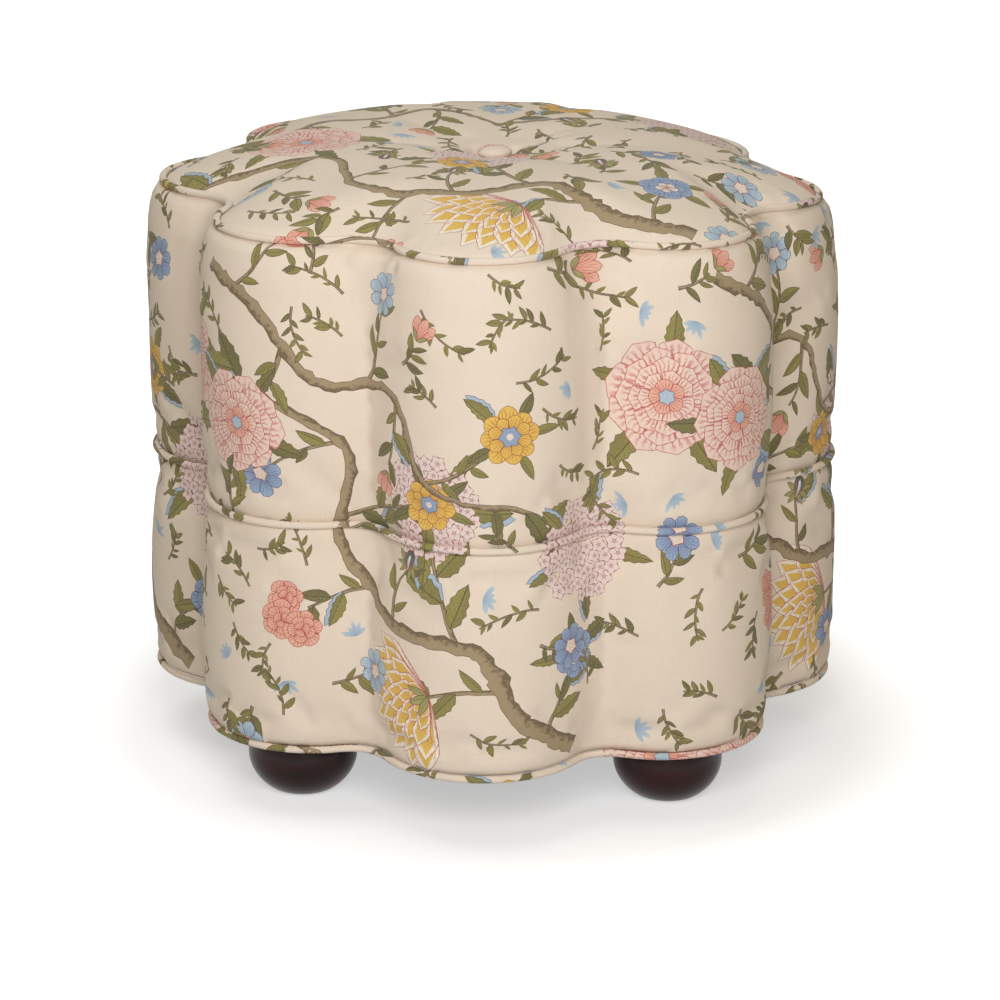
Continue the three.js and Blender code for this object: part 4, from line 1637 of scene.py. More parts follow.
    def crown(self, radius: np.ndarray, reach: np.ndarray) -> np.ndarray:
        """Finds how high the cover stands. It rolls over most steeply in the valleys.

        Args:
            radius: how far each point lies from the middle.
            reach: how far the rim lies from the middle in that direction.

        Returns:
            Each point's height above the rim.
        """
        radius = np.maximum(radius, self.tuft_floor)
        past = radius - self.tuft_floor
        dimple = self.tuft_depth * np.exp(-((past / self.tuft_spread) ** 2))
        dimple += self.tuck_depth * np.exp(-((past / self.tuck_spread) ** 2))
        rise = self.crown_rise - self.crown_slack
        valley = (reach.max() - reach) / np.ptp(reach)
        return rise * (1 - (radius / reach) ** (self.crown_power + self.valley_power * valley)) - dimple

    def cover_shares(self) -> np.ndarray:
        """Lays out how far out each row of the cover lies, closer together round the button.

        Returns:
            Their shares of the way out, from the rim to the middle.
        """
        spread = 1 - np.linspace(0, 1, 28) ** 1.15
        close = np.array(self.tied_rows) * MM / self.rim_reach
        return np.concatenate([spread[spread > 1.2 * close[0]], close])

    def cover_grid(self, shares: np.ndarray) -> np.ndarray:
        """Lays out the cover's rows, before it swells.

        Args:
            shares: how far out each lies.

        Returns:
            Their points.
        """
        rim = self.rim()
        grid = rim[None] * np.maximum(shares, 0.004)[:, None, None]
        reach = np.linalg.norm(rim[:, :2], axis=1)
        grid[:, :, 2] = self.rim_height + self.crown(shares[:, None] * reach[None], reach[None])
        return grid

    def swell(self, lower: np.ndarray, upper: np.ndarray, cover: np.ndarray) -> list[np.ndarray]:
        """Blows the cloths up a little between their seams by a cloth simulation, as the padding does.

        Args:
            lower: rows of the lower band.
            upper: rows of the upper band.
            cover: rows of the cover, from its rim to its middle.

        Returns:
            The three again, each point moved by no more than the most that the padding gives.
        """
        parts = [lower, upper, cover]
        columns = self.outline.columns
        grid = np.concatenate(parts)
        ends = np.cumsum([len(part) for part in parts])
        held = np.zeros(grid.shape[:2], bool)
        held[[0, *(ends - 1), *ends[:-1]]] = True
        held[-int((np.linalg.norm(cover[:, 0, :2], axis=1) < self.tied_reach).sum()):] = True
        valleys = [round(self.outline.valley_column(k)) % columns for k in range(self.outline.lobes)]
        held[: ends[1], valleys] = True
        mesh = bpy.data.meshes.new("swelling")
        mesh.from_pydata(grid.reshape(-1, 3).tolist(), [], grid_faces(len(grid), columns))
        cloth = bpy.data.objects.new("swelling", mesh)
        scene = bpy.context.scene
        scene.collection.objects.link(cloth)
        group = cloth.vertex_groups.new(name="sewn")
        group.add(np.flatnonzero(held.ravel()).tolist(), 1.0, "REPLACE")
        modifier = cloth.modifiers.new("cloth", "CLOTH")
        settings = modifier.settings
        settings.vertex_group_mass = "sewn"
        settings.use_pressure = True
        settings.uniform_pressure_force = self.pressure
        settings.effector_weights.gravity = 0.0
        settings.tension_stiffness = settings.compression_stiffness = self.stiffness
        settings.bending_stiffness = self.bending
        settings.shrink_min = self.shrink
        modifier.point_cache.frame_end = self.swell_steps
        for step in range(self.swell_steps):
            scene.frame_set(step + 1)
        shape = cloth.evaluated_get(bpy.context.evaluated_depsgraph_get()).data
        swelled = np.zeros(grid.size, np.float32)
        shape.vertices.foreach_get("co", swelled)
        scene.frame_set(1)
        bpy.data.objects.remove(cloth)
        bpy.data.meshes.remove(mesh)
        shift = swelled.reshape(grid.shape) - grid
        length = np.maximum(np.linalg.norm(shift, axis=2, keepdims=True), 1e-9)
        log.info("the cloth swelled by up to %.1f mm", length.max() / MM)
        grid = grid + shift / length * self.swell_most * np.tanh(length / self.swell_most)
        return np.split(grid, ends[:-1])

    def bulge(self, grid: np.ndarray, depth: float) -> np.ndarray:
        """Rounds a band out between its two seams, before it swells.

        Args:
            grid: its rows.
            depth: how far it comes out half-way up.

        Returns:
            The rows, rounded.
        """
        t = np.linspace(0, 1, len(grid))
        return self.pushed(grid, depth * np.sqrt(np.sin(math.pi * t))[:, None])

    def pushed(self, grid: np.ndarray, out: np.ndarray) -> np.ndarray:
        """A copy of a grid of points, each pushed out by so much."""
        flat = grid[:, :, :2] + out[:, :, None] * self.outline.edge()[1][None]
        return np.concatenate([flat, grid[:, :, 2:]], axis=2)

    def crease_bands(self, grid: np.ndarray, top: float, deep: float) -> np.ndarray:
        """Presses the folds into a band that gather at its upper seam by each valley, and ripples its seams.

        Args:
            grid: its rows.
            top: the height of its upper seam.
            deep: how deep the deepest fold is.

        Returns:
            The rows, creased.
        """
        columns = np.arange(self.outline.columns)
        height = grid[:, :, 2]
        step = self.outline.step
        below = np.maximum(top - height, 0)
        chance = random.Random(17)
        push = np.zeros(height.shape)
        for valley in range(self.outline.lobes):
            middle = self.outline.valley_column(valley)
            for side in (-1, 1):
                for offset in self.fold_offsets:
                    reach = chance.uniform(*self.fold_reach) * MM
                    depth = deep * chance.uniform(0.5, 1.0)
                    spot = offset * chance.uniform(0.8, 1.2) + self.fold_slant * below
                    centre = middle + side * spot / step
                    away = (columns[None] - centre + len(columns) / 2) % len(columns) - len(columns) / 2
                    across = (away * step / self.fold_width) ** 2
                    push -= depth * np.exp(-across - (below / reach) ** 1.5)
        short, long = self.band_ripples
        ripple = np.sin(columns * step / short) * np.sin(columns * step / long + 1)
        near = np.exp(-np.minimum(below, height - height.min()) / self.ripple_reach)
        push += self.ripple_height * ripple[None] * near
        waves = sum(np.sin(FULL_TURN * columns / len(columns) * k + 1.7 * k)[None] *
                    np.sin(height / self.wave_length + 0.9 * k) for k in self.waves)
        push += self.wave_height * waves * (1 - near)
        return self.pushed(grid, push)

    def crease_cover(self, grid: np.ndarray) -> np.ndarray:
        """Presses the creases into the cover that run out from the button, and ripples its seam.

        Args:
            grid: its rows.

        Returns:
            The rows, creased.
        """
        turn = np.arctan2(grid[:, :, 1], grid[:, :, 0])
        radius = np.linalg.norm(grid[:, :, :2], axis=2)
        chance = random.Random(23)
        drop = np.zeros(radius.shape)
        for k in range(self.creases):
            angle = FULL_TURN * (k + chance.uniform(0.25, 0.75)) / self.creases
            reach = chance.uniform(*self.crease_reach) * MM if k else self.long_crease
            away = np.abs((turn - angle + math.pi) % FULL_TURN - math.pi) * radius
            depth = chance.uniform(*self.crease_depth) * MM
            drop += depth * np.exp(-((away / self.crease_width) ** 2) - (radius / reach) ** 2)
        to_rim = np.maximum(self.rim_reach - radius, 0)
        columns = np.arange(self.outline.columns)[None] * self.outline.step
        short, long = self.cover_ripples
        height, near = self.rim_ripple
        ripple = np.sin(columns / short) * np.sin(columns / long)
        out = grid.copy()
        out[:, :, 2] += height * ripple * np.exp(-to_rim / near) - drop
        depth, across, along = self.dapple
        out[:, :, 2] += depth * np.sin(grid[:, :, 0] / across) * np.sin(grid[:, :, 1] / along + 1)
        return out

    def settle(self, points: np.ndarray) -> np.ndarray:
        """Lets the top lean and sag a little to one side, as the stuffing has settled.

        Args:
            points: any points.

        Returns:
            The points, moved.
        """
        (low, span), (foot, length) = self.sag_above, self.lean_above
        rise = np.clip((points[..., 2] - low) / span, 0, 1) ** 2
        tilt = np.clip((points[..., 2] - foot) / length, 0, 1)
        radius = np.linalg.norm(points[..., :2], axis=-1)
        side = points[..., 0] * math.cos(self.sag_turn) + points[..., 1] * math.sin(self.sag_turn)
        out = points.copy()
        out[..., 0] -= self.lean * tilt * np.clip(radius / self.rim_reach, 0, 1) ** 2
        out[..., 2] -= self.sag * rise * np.clip(side / self.rim_reach, 0, 1) ** 2
        return out

    def shape_cloths(self) -> None:
        """Works out the surface of each cloth."""
        lower = self.outline.place(*self.lower_rows())
        upper = self.outline.place(*self.upper_rows())
        shares = self.cover_shares()
        cover = self.cover_grid(shares)
        lower, upper = self.bulge(lower, self.lower_bulge), self.bulge(upper, self.upper_bulge)
        lower, upper, cover = self.swell(lower, upper, cover)
        lower = self.crease_bands(lower, self.lower_top, self.lower_fold)
        upper = self.crease_bands(upper, self.upper_top, self.upper_fold)
        cover = self.settle(self.crease_cover(cover))
        middle, rim = self.piping_lines["middle_piping"][1], self.rim_height - self.edge_tuck[1]
        insets = np.array([self.hem_width, self.hem_width / 2, *self.hem_roll])
        hem = self.outline.place(insets, self.hem_height + np.array([0, 0, 0, 1.1]) * MM)
        tucks = np.array([self.tuck, self.tuck, self.rim_inset + self.edge_tuck[0]])
        heights = np.array([middle - 0.5 * MM, middle + 0.5 * MM, rim])
        below, above, end = self.outline.place(tucks, heights)
        upper = self.settle(np.concatenate([above[None], upper, end[None]]))
        self.lower_grid = np.concatenate([hem, lower, below[None]])
        self.upper_grid, self.cover_shaped = upper, cover
        self.lower_surface, self.lower_span = self.band_surface(self.lower_grid, -self.hem_width)
        self.upper_surface, self.upper_span = self.band_surface(upper, self.lower_span[1])
        self.cover_surface = Surface(cover, self.cover_finder(shares))

    def band_surface(self, grid: np.ndarray, start: float) -> tuple[Surface, tuple[float, float]]:
        """Finds a band's surface. The cloth's join is in a valley at the back.

        Args:
            grid: its rows.
            start: the height on the flat cloth that it starts at.

        Returns:
            The surface, and the lowest and highest place on the flat cloth that it spans.
        """
        length = np.linalg.norm(np.diff(grid, axis=0), axis=2).mean(1)
        heights = start + np.concatenate([[0], np.cumsum(length)])
        join, step = self.outline.valley_column(2), self.outline.step

        def find(flat: np.ndarray) -> tuple[np.ndarray, np.ndarray]:
            """Rows and columns of places on the cloth."""
            return np.interp(flat[:, 1], heights, np.arange(len(heights))), join + flat[:, 0] / step

        return Surface(grid, find), (float(heights[0]), float(heights[-1]))

    def cover_finder(self, shares: np.ndarray) -> Callable:
        """Finds how a place on the cover's cloth, which is drawn about its middle, is found in its grid.

        Args:
            shares: how far out each of its rows lies.

        Returns:
            The function that does so.
        """
        rim = self.rim()
        angles = np.unwrap(np.arctan2(rim[:, 1], rim[:, 0]))
        angles = np.append(angles, angles[0] + FULL_TURN)
        reach = np.append(np.hypot(rim[:, 0], rim[:, 1]), math.hypot(*rim[0, :2]))

        def find(flat: np.ndarray) -> tuple[np.ndarray, np.ndarray]:
            """Finds places on the cloth.

            Args:
                flat: the places.

            Returns:
                Their rows and columns.
            """
            turn = (np.arctan2(flat[:, 1], flat[:, 0]) - angles[0]) % FULL_TURN + angles[0]
            column = np.interp(turn, angles, np.arange(len(angles)))
            share = np.hypot(flat[:, 0], flat[:, 1]) / np.interp(turn, angles, reach)
            return np.interp(-share, -shares, np.arange(len(shares))), column

        return find

    def build_cloths(self) -> None:
        """Makes the bands and the cover."""
        linen = self.finishes.by_slot["linen"]
        girth = self.outline.girth
        self.pattern = side_print(girth, self.upper_span[1]).shapes
        end = girth - self.butt
        bands = (("lower_band", self.lower_surface, self.lower_span),
                 ("upper_band", self.upper_surface, self.upper_span))
        for node, surface, (low, high) in bands:
            domain = strip_domain(end, low, high, 260, 24)
            cloth = PrintedCloth(node + "_linen", surface, domain, self.pattern).build(linen)
            seat(cloth, "linen", node)
            log.info("%s: %d faces", cloth.name, len(cloth.data.polygons))
        rim = self.rim()[:, :2]
        halves = [(rim + (np.roll(rim, -1, 0) - rim) * s)[:, None] for s in (0.0, 0.5)]
        fine = np.concatenate(halves, 1).reshape(-1, 2)
        turns = np.arange(44) * FULL_TURN / 44
        rings = np.concatenate([circle(turns + radius, radius * MM) for radius in self.tied_rings])
        shapes = top_print(self.rim_reach).shapes
        cover = PrintedCloth("top_cover_linen", self.cover_surface, fine * 0.9999, shapes, close=rings)
        cover = cover.build(linen)
        seat(cover, "linen", "top_cover")
        log.info("%s: %d faces", cover.name, len(cover.data.polygons))

    def dropped(self, by: float) -> np.ndarray:
        """The cover's rows, sunk and drawn in by so much."""
        share = 1 - by / self.rim_reach
        return self.cover_shaped * [share, share, 1] - np.array([0, 0, by])

    def build_padding(self) -> None:
        """Makes the wadding and the foam that the cloths lie on."""
        foam, wadding = self.finishes.by_slot["foam"], self.finishes.by_slot["wadding"]
        top, under = self.dropped(self.lining), self.dropped(self.lining + self.layer)
        rows = np.concatenate([top, under[::-1]])[::-1]
        layer = grid_object("seat_wadding_layer", rows, wadding, closed=True)
        seat(layer, "wadding", "seat_wadding")
        crown = self.dropped(self.lining + self.layer + self.gap)
        side = self.upper_grid[self.upper_grid[:, 0, 2] > self.deck_top + 4 * MM][:-3]
        side = self.pushed(side, np.full((len(side), 1), -1.6 * self.lining))
        foot = side[:1].copy()
        foot[:, :, 2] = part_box("seat_foam")[0].z
        block = np.concatenate([foot * [0.02, 0.02, 1], foot, side, crown])
        made = grid_object("seat_foam_block", block, foam, closed=False)
        seat(made, "foam", "seat_foam")
        self.build_side_foam(foam)

    def build_side_foam(self, foam: bpy.types.Material) -> None:
        """Makes the foam round the side, in two lengths that meet in two valleys.

        Args:
            foam: its material.
        """
        low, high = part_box("side_padding_1")
        wall = np.concatenate([self.lower_grid[4:-1], self.upper_grid[1:]])
        wall = wall[(wall[:, 0, 2] > low.z) & (wall[:, 0, 2] < high.z)]
        wall[0, :, 2], wall[-1, :, 2] = low.z, high.z
        seams = (low.z, self.piping_lines["middle_piping"][1])
        away = [(wall[:, :1, 2] - seam) / self.pressed_reach for seam in seams]
        wall = self.pushed(wall, -self.lining - sum(self.foam_pressed * np.exp(-(a**2)) for a in away))
        back = self.outline.place(np.full(2, self.lining + self.foam_thickness), np.array([high.z, low.z]))
        half = self.outline.columns // 2
        first = int(self.outline.valley_column(0))
        for k in range(2):
            columns = [(first + 1 + k * half + i) % self.outline.columns for i in range(half)]
            strip = np.concatenate([wall, back])[:, columns].transpose(1, 0, 2)[::-1]
            made = grid_object(f"side_foam_{k + 1}", strip, foam, closed=False)
            seat(made, "foam", f"side_padding_{k + 1}")

    def build_piping(self) -> None:
        """Makes the three rows of piping, each a strip of the printed cloth rolled round as if over a cord.
        """
        points, normals = self.outline.edge()
        step = self.outline.step
        around = FULL_TURN * self.piping_radius
        sides = 14
        for number, (node, (inset, height)) in enumerate(self.piping_lines.items()):
            path = points - inset * normals
            chance = random.Random(number)
            pinch = np.array([chance.uniform(-1, 1) for _ in points])
            radius = self.piping_radius * (1 + 0.03 * pinch)
            join = self.outline.valley_column(self.strip_joins[number])
            rings = []
            for turn in np.linspace(0, FULL_TURN, sides + 1)[:-1]:
                out = path + normals * (radius * -math.cos(turn))[:, None]
                up = height + radius * -math.sin(turn)
                rings.append(np.concatenate([out, up[:, None]], 1))
            tube = self.settle(np.array(rings))

            def find(flat: np.ndarray, join: float = join) -> tuple[np.ndarray, np.ndarray]:
                """Rows and columns of places on the strip."""
                return 2 + flat[:, 1] / around * sides, join + flat[:, 0] / step

            closed = np.concatenate([tube[-2:], tube, tube[:3]])
            domain = strip_domain(self.outline.girth - self.butt, 0, self.wrapped * around, 400, 13)
            lift, lean = self.strip_lifts[number], self.strip_leans[number]
            shapes = [leaning(shape, lift, lean) for shape in self.pattern]
            cloth = PrintedCloth(node + "_welt", Surface(closed, find), domain, shapes,
                                 (4 * MM, 1.5 * MM), 0.5 * MM)
            made = cloth.build(self.finishes.by_slot["linen"])
            seat(made, "linen", node)
            log.info("%s: %d faces", made.name, len(made.data.polygons))


def strip_domain(length: float, low: float, high: float, along: int, across: int) -> np.ndarray:
    """Draws the edge of a strip of cloth.

    Args:
        length: how long it is.
        low: where its lower edge is.
        high: where its upper edge is.
        along: how many points each long edge has.
        across: how many points each end has between its corners.

    Returns:
        The edge's points, counter-clockwise.
    """
    steps = np.linspace(0, length, along)
    rise = np.linspace(low, high, across + 2)[1:-1]
    foot = np.stack([steps, np.full(along, low)], 1)
    head = np.stack([steps[::-1], np.full(along, high)], 1)
    right = np.stack([np.full(across, length), rise], 1)
    return np.concatenate([foot, right, head, right[::-1] * [0, 1]])


def leaning(shape: Shape, lift: float, lean: float) -> Shape:
    """Finds how a printed shape lies on a strip that was cut a little across the cloth.

    Args:
        shape: the shape.
        lift: how high on the cloth the strip was cut.
        lean: how far it was turned.

    Returns:
        The shape on the strip.
    """
    c, s = math.cos(lean), math.sin(lean)
    turn = np.array([[c, -s], [s, c]])
    middle = (np.array(shape.middle) - [0, lift]) @ turn
    points = (shape.points - [0, lift]) @ turn
    return replace(shape, points=points, middle=tuple(middle), turn=shape.turn - lean)


@dataclass
class Button:
    """The covered button that ties the crown down."""

    finishes: Finishes
    edge: float = 2.4 * MM
    sides: int = 64

    def build(self) -> None:
        """Makes the button's cover."""
        low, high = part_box("button_cover")
        radius, rise = high.x, high.z - low.z
        dome = circle(np.linspace(0, math.pi / 2, 9)[:-1])
        dome = dome * [radius, rise - self.edge] + [0, low.z + self.edge]
        profile = [(radius * 0.86, low.z - 0.2 * MM), (radius * 0.97, low.z + 0.2 * MM)]
        profile = np.array([*profile, *dome, (radius * 0.01, high.z)])
        angles = np.arange(self.sides) * FULL_TURN / self.sides
        grid = np.array([np.column_stack([circle(angles, r), np.full(self.sides, z)]) for r, z in profile])
        lengths = np.concatenate([[0], np.cumsum(np.linalg.norm(np.diff(profile, axis=0), axis=1))])
        total = float(lengths[-1])

        def find(flat: np.ndarray) -> tuple[np.ndarray, np.ndarray]:
            """Finds places on the cloth.

            Args:
                flat: the places.

            Returns:
                Their rows and columns.
            """
            away = np.hypot(flat[:, 0], flat[:, 1])
            column = (np.arctan2(flat[:, 1], flat[:, 0]) % FULL_TURN) / FULL_TURN * self.sides
            return np.interp(total - away, lengths, np.arange(len(lengths))), column

        flower = Print(seed=2)
        flower.whorl((-0.5 * total, 0.75 * total), total, [(7, 0.3, 1)], (Ink.ROSE, Ink.RED_LINE))
        domain = circle(np.linspace(0, FULL_TURN, 48, endpoint=False), total * 0.999)
        cloth = PrintedCloth("button_linen", Surface(grid, find), domain, flower.shapes,
                             (1.6 * MM, 1.6 * MM), 0.6 * MM)
        made = seat(cloth.build(self.finishes.by_slot["linen"]), "linen", "button_cover")


@dataclass
class Tie:
    """The twine that ties the button down: two strands through the seat, and their knot under the toggle."""

    finishes: Finishes
    radius: float = 0.7 * MM
    lay: float = 5 * MM
    sides: int = 12
    tail: float = 9 * MM
    knot_depth: float = 0.9 * MM

    def build(self) -> None:
        """Makes the strands, the knot and its two tails."""
        low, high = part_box("tufting_twine")
        apart, knot = high.y - self.radius, low.z + high.x
        bend = high.z - high.y
        rise = np.linspace(knot, bend, 150)
        turns = np.linspace(0, math.pi, 14)[1:-1]
        over = [(0, apart * math.cos(t), bend + apart * math.sin(t)) for t in turns]
        legs = [(0, apart, z) for z in rise] + over + [(0, -apart, z) for z in rise[::-1]]
        t = np.linspace(0, FULL_TURN - 0.1, 90)
        x, y = self.radius * (np.sin(t) + 2 * np.sin(2 * t)), self.radius * (np.cos(t) - 2 * np.cos(2 * t))
        tied = np.stack([x, y, knot - self.knot_depth * np.sin(3 * t)], 1)
        s = np.linspace(0, 1, 16)
        tails = [np.stack([side * (1 * MM + 1.6 * MM * s), side * 1.5 * MM * s**2, knot - self.tail * s], 1)
                 for side in (-1, 1)]
        points, faces = [], []
        for path in (np.array(legs), tied, *tails):
            grid = self.twisted(path)
            faces += [[len(points) + n for n in face] for face in grid_faces(len(grid), self.sides)]
            points += grid.reshape(-1, 3).tolist()
        twine = new_object("button_twine", np.array(points), faces, self.finishes.by_slot["twine"])
        seat(twine, "twine", "tufting_twine")

    def twisted(self, path: np.ndarray) -> np.ndarray:
        """Twists two plies together along a path.

        Args:
            path: its points.

        Returns:
            Rows of points round it.
        """
        along = np.gradient(path, axis=0)
        along /= np.linalg.norm(along, axis=1, keepdims=True)
        travelled = np.concatenate([[0], np.cumsum(np.linalg.norm(np.diff(path, axis=0), axis=1))])
        side = np.array([1.0, 0.2, 0.0])
        angles = np.arange(self.sides) * FULL_TURN / self.sides
        rows = []
        for place, ahead, distance in zip(path, along, travelled):
            side = side - side.dot(ahead) * ahead
            side /= np.linalg.norm(side)
            ply = 0.78 + 0.22 * np.abs(np.cos(angles - distance / self.lay * math.pi))
            ring = np.cos(angles)[:, None] * side + np.sin(angles)[:, None] * np.cross(ahead, side)
            rows.append(place + self.radius * ply[:, None] * ring)
        return np.array(rows)


@dataclass
class BunFeet:
    """The four turned feet with the felt pads under them."""

    finishes: Finishes
    flat_radius: float = 24 * MM
    bolt_hole: float = 4.3 * MM
    hole_depth: float = 24 * MM
    pad_edge: float = 0.5 * MM

    def build(self) -> None:
        """Makes the feet and their pads."""
        for k in range(1, 5):
            low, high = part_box(f"foot_{k}")
            centre = ((low.x + high.x) / 2, (low.y + high.y) / 2)
            profile = self.bun(low.z, high.z, (high.x - low.x) / 2)
            foot = lathe(f"bun_foot_{k}", profile, centre, self.finishes.by_slot["foot_wood"])
            seat(foot, "foot_wood", f"foot_{k}")
            low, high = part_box(f"foot_pad_{k}")
            profile = self.disc(low.z, high.z, (high.x - low.x) / 2)
            pad = lathe(f"felt_pad_{k}", profile, centre, self.finishes.by_slot["felt"], 48)
            seat(pad, "felt", f"foot_pad_{k}")

    def bun(self, low: float, high: float, radius: float) -> list[tuple[float, float]]:
        """Draws a bun with softened flats and a bolt hole in its top.

        Args:
            low: the height of its foot.
            high: the height of its top.
            radius: its radius at its widest.

        Returns:
            The radius and height at each point of its profile.
        """
        steep = math.acos(self.flat_radius / radius)
        turns = np.linspace(-steep, steep, 25)
        middle, half = (low + high) / 2, (high - low) / 2
        side = [(radius * math.cos(t), middle + half * math.sin(t) / math.sin(steep)) for t in turns]
        flat, floor = self.flat_radius, high - self.hole_depth
        foot = [(0.4 * MM, low), (flat * 0.5, low), (flat * 0.93, low)]
        top = [(flat * 0.9, high), (self.bolt_hole, high), (self.bolt_hole, floor), (0.2 * MM, floor)]
        return [*foot, *side, *top]

    def disc(self, low: float, high: float, radius: float) -> list[tuple[float, float]]:
        """Draws a felt disc with a soft edge.

        Args:
            low: the height of its foot.
            high: the height of its top.
            radius: its radius.

        Returns:
            The radius and height at each point of its profile.
        """
        soft, middle = self.pad_edge, 0.3 * MM
        return [(middle, low), (radius - soft, low), (radius - 0.15 * soft, low + 0.4 * soft),
                (radius, low + soft), (radius, high - soft), (radius - soft, high), (middle, high)]


@dataclass
class Underside:
    """The black cloth under the tuffet and its staples."""

    finishes: Finishes
    outline: Outline
    staples: int = 56
    crown: float = 10 * MM
    wire: float = 0.6 * MM
    turn_under: float = 9 * MM
    thickness: float = 0.5 * MM

    def build(self) -> None:
        """Makes the cloth and the staples."""
        low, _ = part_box("dust_cover")
        shares = np.concatenate([np.linspace(0.003, 0.9, 16), [0.93, 0.96, 0.98, 1.0]])
        rim = self.outline.place([self.turn_under], [low.z])[0]
        grid = rim[None] * shares[:, None, None]
        wrinkle = 0.35 * MM * np.sin(grid[:, :, 0] / (19 * MM) + 2 * np.sin(grid[:, :, 1] / (43 * MM)))
        grid[:, :, 2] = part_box("foot_1")[1].z + np.minimum(wrinkle, 0) * (shares < 0.9)[:, None]
        step = np.clip((shares - 0.9) / 0.06, 0, 1)[:, None]
        grid[:, :, 2] = grid[:, :, 2] * (1 - step) + low.z * step
        rows = np.concatenate([grid, (grid + [0, 0, self.thickness])[::-1]])[::-1]
        cloth = grid_object("dust_cover_cloth", rows, self.finishes.by_slot["dust_cloth"], closed=True)
        seat(cloth, "dust_cloth", "dust_cover")
        self.build_staples(low.z)

    def build_staples(self, height: float) -> None:
        """Makes the staples along the edge of the cloth, each a bent wire.

        Args:
            height: how high the cloth's face is there.
        """
        edge, normals = self.outline.edge()
        line = edge - (self.turn_under + 5 * MM) * normals
        points, faces = [], []
        wire = self.wire / 2
        leg = 4 * wire / self.crown
        bars = ((-1, 1, -2 * wire, 0.0), (-1, -1 + leg, 0.0, 3 * wire), (1 - leg, 1, 0.0, 3 * wire))
        box = ((0, 3, 2, 1), (4, 5, 6, 7), (0, 1, 5, 4), (1, 2, 6, 5), (2, 3, 7, 6), (3, 0, 4, 7))
        for k in range(self.staples):
            i = int(k * len(line) / self.staples)
            along = line[(i + 1) % len(line)] - line[i - 1]
            along /= np.linalg.norm(along)
            out = np.array([along[1], -along[0]])
            for start, end, low, high in bars:
                faces += [[len(points) + n for n in face] for face in box]
                for s in (start, end):
                    for w, z in ((-wire, low), (wire, low), (wire, high), (-wire, high)):
                        spot = line[i] + along * s * self.crown / 2 + out * w
                        points.append((*spot, height + z))
        made = new_object("dust_cover_staples", np.array(points), faces, self.finishes.by_slot["zinc"])
        made.data.shade_flat()
        seat(made, "zinc")


# Studio


WHITE = (1.0, 1.0, 1.0, 1.0)


@dataclass(frozen=True)
class Lamp:
    """A round soft lamp that points at the tuffet."""

    name: str
    place: tuple
    size: float
    power: float
    colour: tuple

    def build(self) -> None:
        """Puts the lamp into the scene."""
        data = bpy.data.lights.new(self.name, "AREA")
        data.shape, data.size, data.energy, data.color = "DISK", self.size, self.power, self.colour
        lamp = bpy.data.objects.new(self.name, data)
        lamp.visible_camera = False
        lamp.location = self.place
        lamp.rotation_mode = "QUATERNION"
        lamp.rotation_quaternion = (Vector((0, 0, 0.2)) - lamp.location).to_track_quat("-Z", "Y")
        bpy.context.scene.collection.objects.link(lamp)


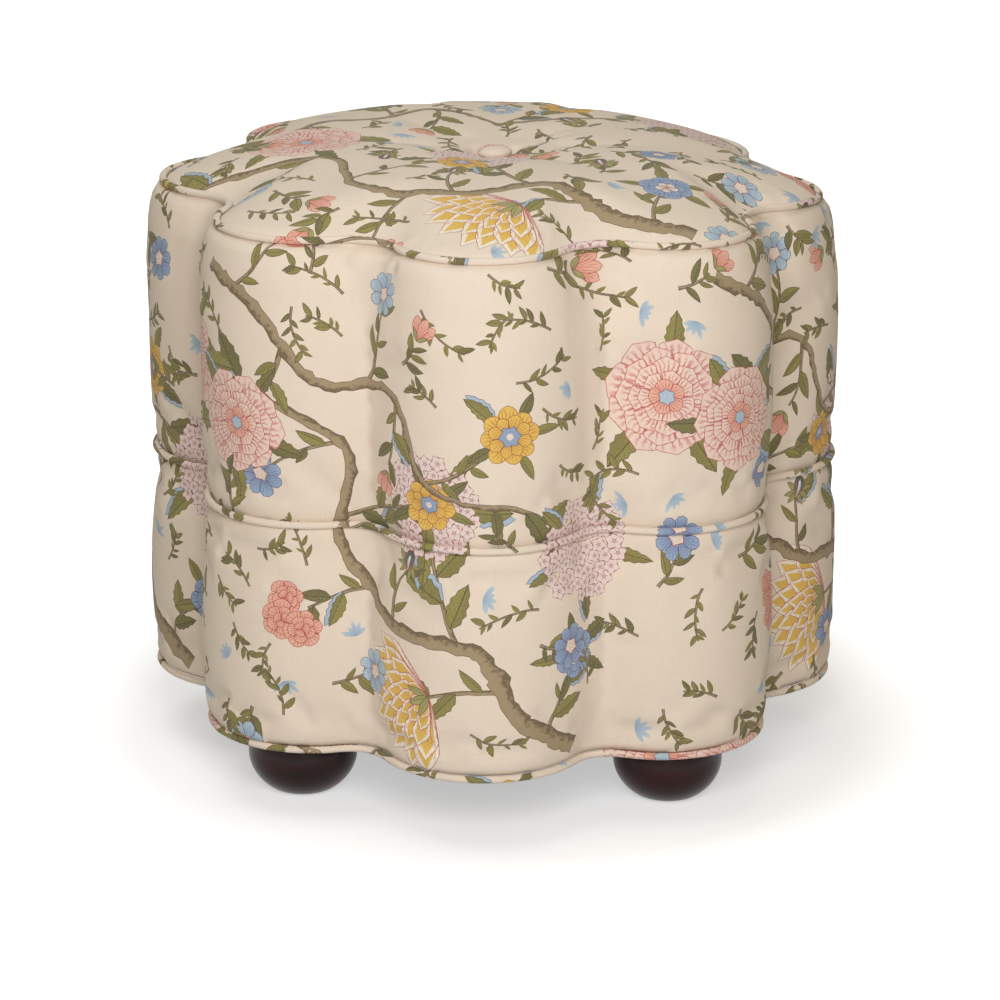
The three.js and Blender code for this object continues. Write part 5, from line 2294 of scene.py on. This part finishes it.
@dataclass
class Studio:
    """A white room: the camera as the photograph has it, soft lamps, and a floor that keeps the real shadow,
    with painted shade round the tuffet's foot where its glow is dimmer.
    """

    lens: float = 150.0
    distance: float = 3.103
    azimuth: float = 2.11
    elevation: float = 17.72
    target: tuple = (0.0, 0.0, 0.1812)
    shift: tuple = (0.007, -0.0045)
    roll: float = 0.3
    lamps: tuple = (
        Lamp("key", (0.1, -1.5, 0.95), 0.75, 12.7, (1.0, 0.985, 0.97)),
        Lamp("overhead", (-0.5, 0.1, 2.7), 2.2, 22.2, (0.9, 0.96, 1.0)),
    )
    sky: tuple = (1.0, 0.8, 0.45, 1.0)
    sky_strength: float = 0.19
    floor_size: float = 9.0
    floor_colour: tuple = (0.78, 0.79, 0.82, 1.0)
    # The floor's glow goes from its first value near the tuffet to its second far off, across the painted
    # shade's reach. The dim glow near the foot is painted shade on top of the real shadow.
    floor_glow_and_painted_shade: tuple = (0.5, 1.1)
    painted_shade_reach: tuple = (0.27, 0.5)

    def build(self) -> None:
        """Sets up the camera, the lamps, the world and the floor."""
        bpy.context.scene.view_settings.view_transform = "Standard"
        self.build_camera()
        for lamp in self.lamps:
            lamp.build()
        self.build_world()
        self.build_floor()

    def build_camera(self) -> None:
        """Places the camera."""
        turn, rise = math.radians(self.azimuth), math.radians(self.elevation)
        back = Vector((math.sin(turn) * math.cos(rise), -math.cos(turn) * math.cos(rise), math.sin(rise)))
        data = bpy.data.cameras.new("camera")
        data.lens, data.sensor_width = self.lens, 36.0
        data.shift_x, data.shift_y = self.shift
        camera = bpy.data.objects.new("camera", data)
        camera.location = Vector(self.target) + back * self.distance
        camera.rotation_mode = "QUATERNION"
        camera.rotation_quaternion = (-back).to_track_quat("-Z", "Y")
        camera.rotation_mode = "XYZ"
        camera.rotation_euler.rotate_axis("Z", math.radians(self.roll))
        bpy.context.scene.collection.objects.link(camera)
        bpy.context.scene.camera = camera

    def build_world(self) -> None:
        """Makes a pale sky that lights evenly and looks white to the camera."""
        world = bpy.data.worlds.new("studio")
        bpy.context.scene.world = world
        world.use_nodes = True
        nodes = Nodes(world.node_tree)
        seen = self.seen(nodes)
        feed(
            nodes, world.node_tree.nodes["Background"],
            Strength=nodes.blend(seen, 1 - self.sky_strength, self.sky_strength),
            Color=nodes.mix(seen, self.sky, WHITE),
        )

    def seen(self, nodes: Nodes) -> bpy.types.NodeSocket:
        """Tells what is seen directly, in a reflection or through glass from what only lights.

        Args:
            nodes: where its nodes go.

        Returns:
            A socket with 1 for what is seen, and 0 otherwise.
        """
        path = nodes.add("LightPath").outputs
        direct = nodes.math("ADD", path["Is Camera Ray"], path["Is Glossy Ray"])
        return nodes.math("ADD", direct, path["Is Transmission Ray"], clamp=True)

    def build_floor(self) -> None:
        """Makes a white floor that keeps the shadow. Its glow, seen only by the camera and in reflections, is
        weaker near the tuffet: painted shade round its foot, on top of the real shadow.
        """
        material, nodes, shader = new_material("white floor")
        place = nodes.add("TexCoord").outputs["Object"]
        away = nodes.add("VectorMath", {0: place}, operation="LENGTH").outputs["Value"]
        near, far = self.floor_glow_and_painted_shade
        # Painted shade: the glow is weakest near the tuffet, which darkens the floor round its foot.
        glow_with_painted_shade = nodes.blend(nodes.band(away, *self.painted_shade_reach), far - near, near)
        feed(
            nodes, shader,
            Roughness=0.9, Base_Color=self.floor_colour, Specular_IOR_Level=0.0, Emission_Color=WHITE,
            Emission_Strength=nodes.times(self.seen(nodes), glow_with_painted_shade),
        )
        size = self.floor_size
        corners = np.array([(-size, -size, 0), (size, -size, 0), (size, size, 0), (-size, size, 0)])
        floor = new_object("floor", corners, [(0, 1, 2, 3)], material)


def main() -> None:
    """Builds the tuffet and its studio."""
    logging.basicConfig(level=logging.INFO, format="%(name)s: %(message)s")
    Studio().build()
    log.info("studio")
    finishes = Finishes()
    finishes.dress_solids(frame["record"])
    log.info("solids dressed")
    upholstery = Upholstery(finishes)
    upholstery.shape_cloths()
    upholstery.build_padding()
    log.info("padding")
    upholstery.build_cloths()
    upholstery.build_piping()
    Button(finishes).build()
    log.info("button")
    Tie(finishes).build()
    log.info("twine")
    BunFeet(finishes).build()
    log.info("feet")
    Underside(finishes, upholstery.outline).build()
    log.info("underside")


if __name__ == "__main__":
    main()
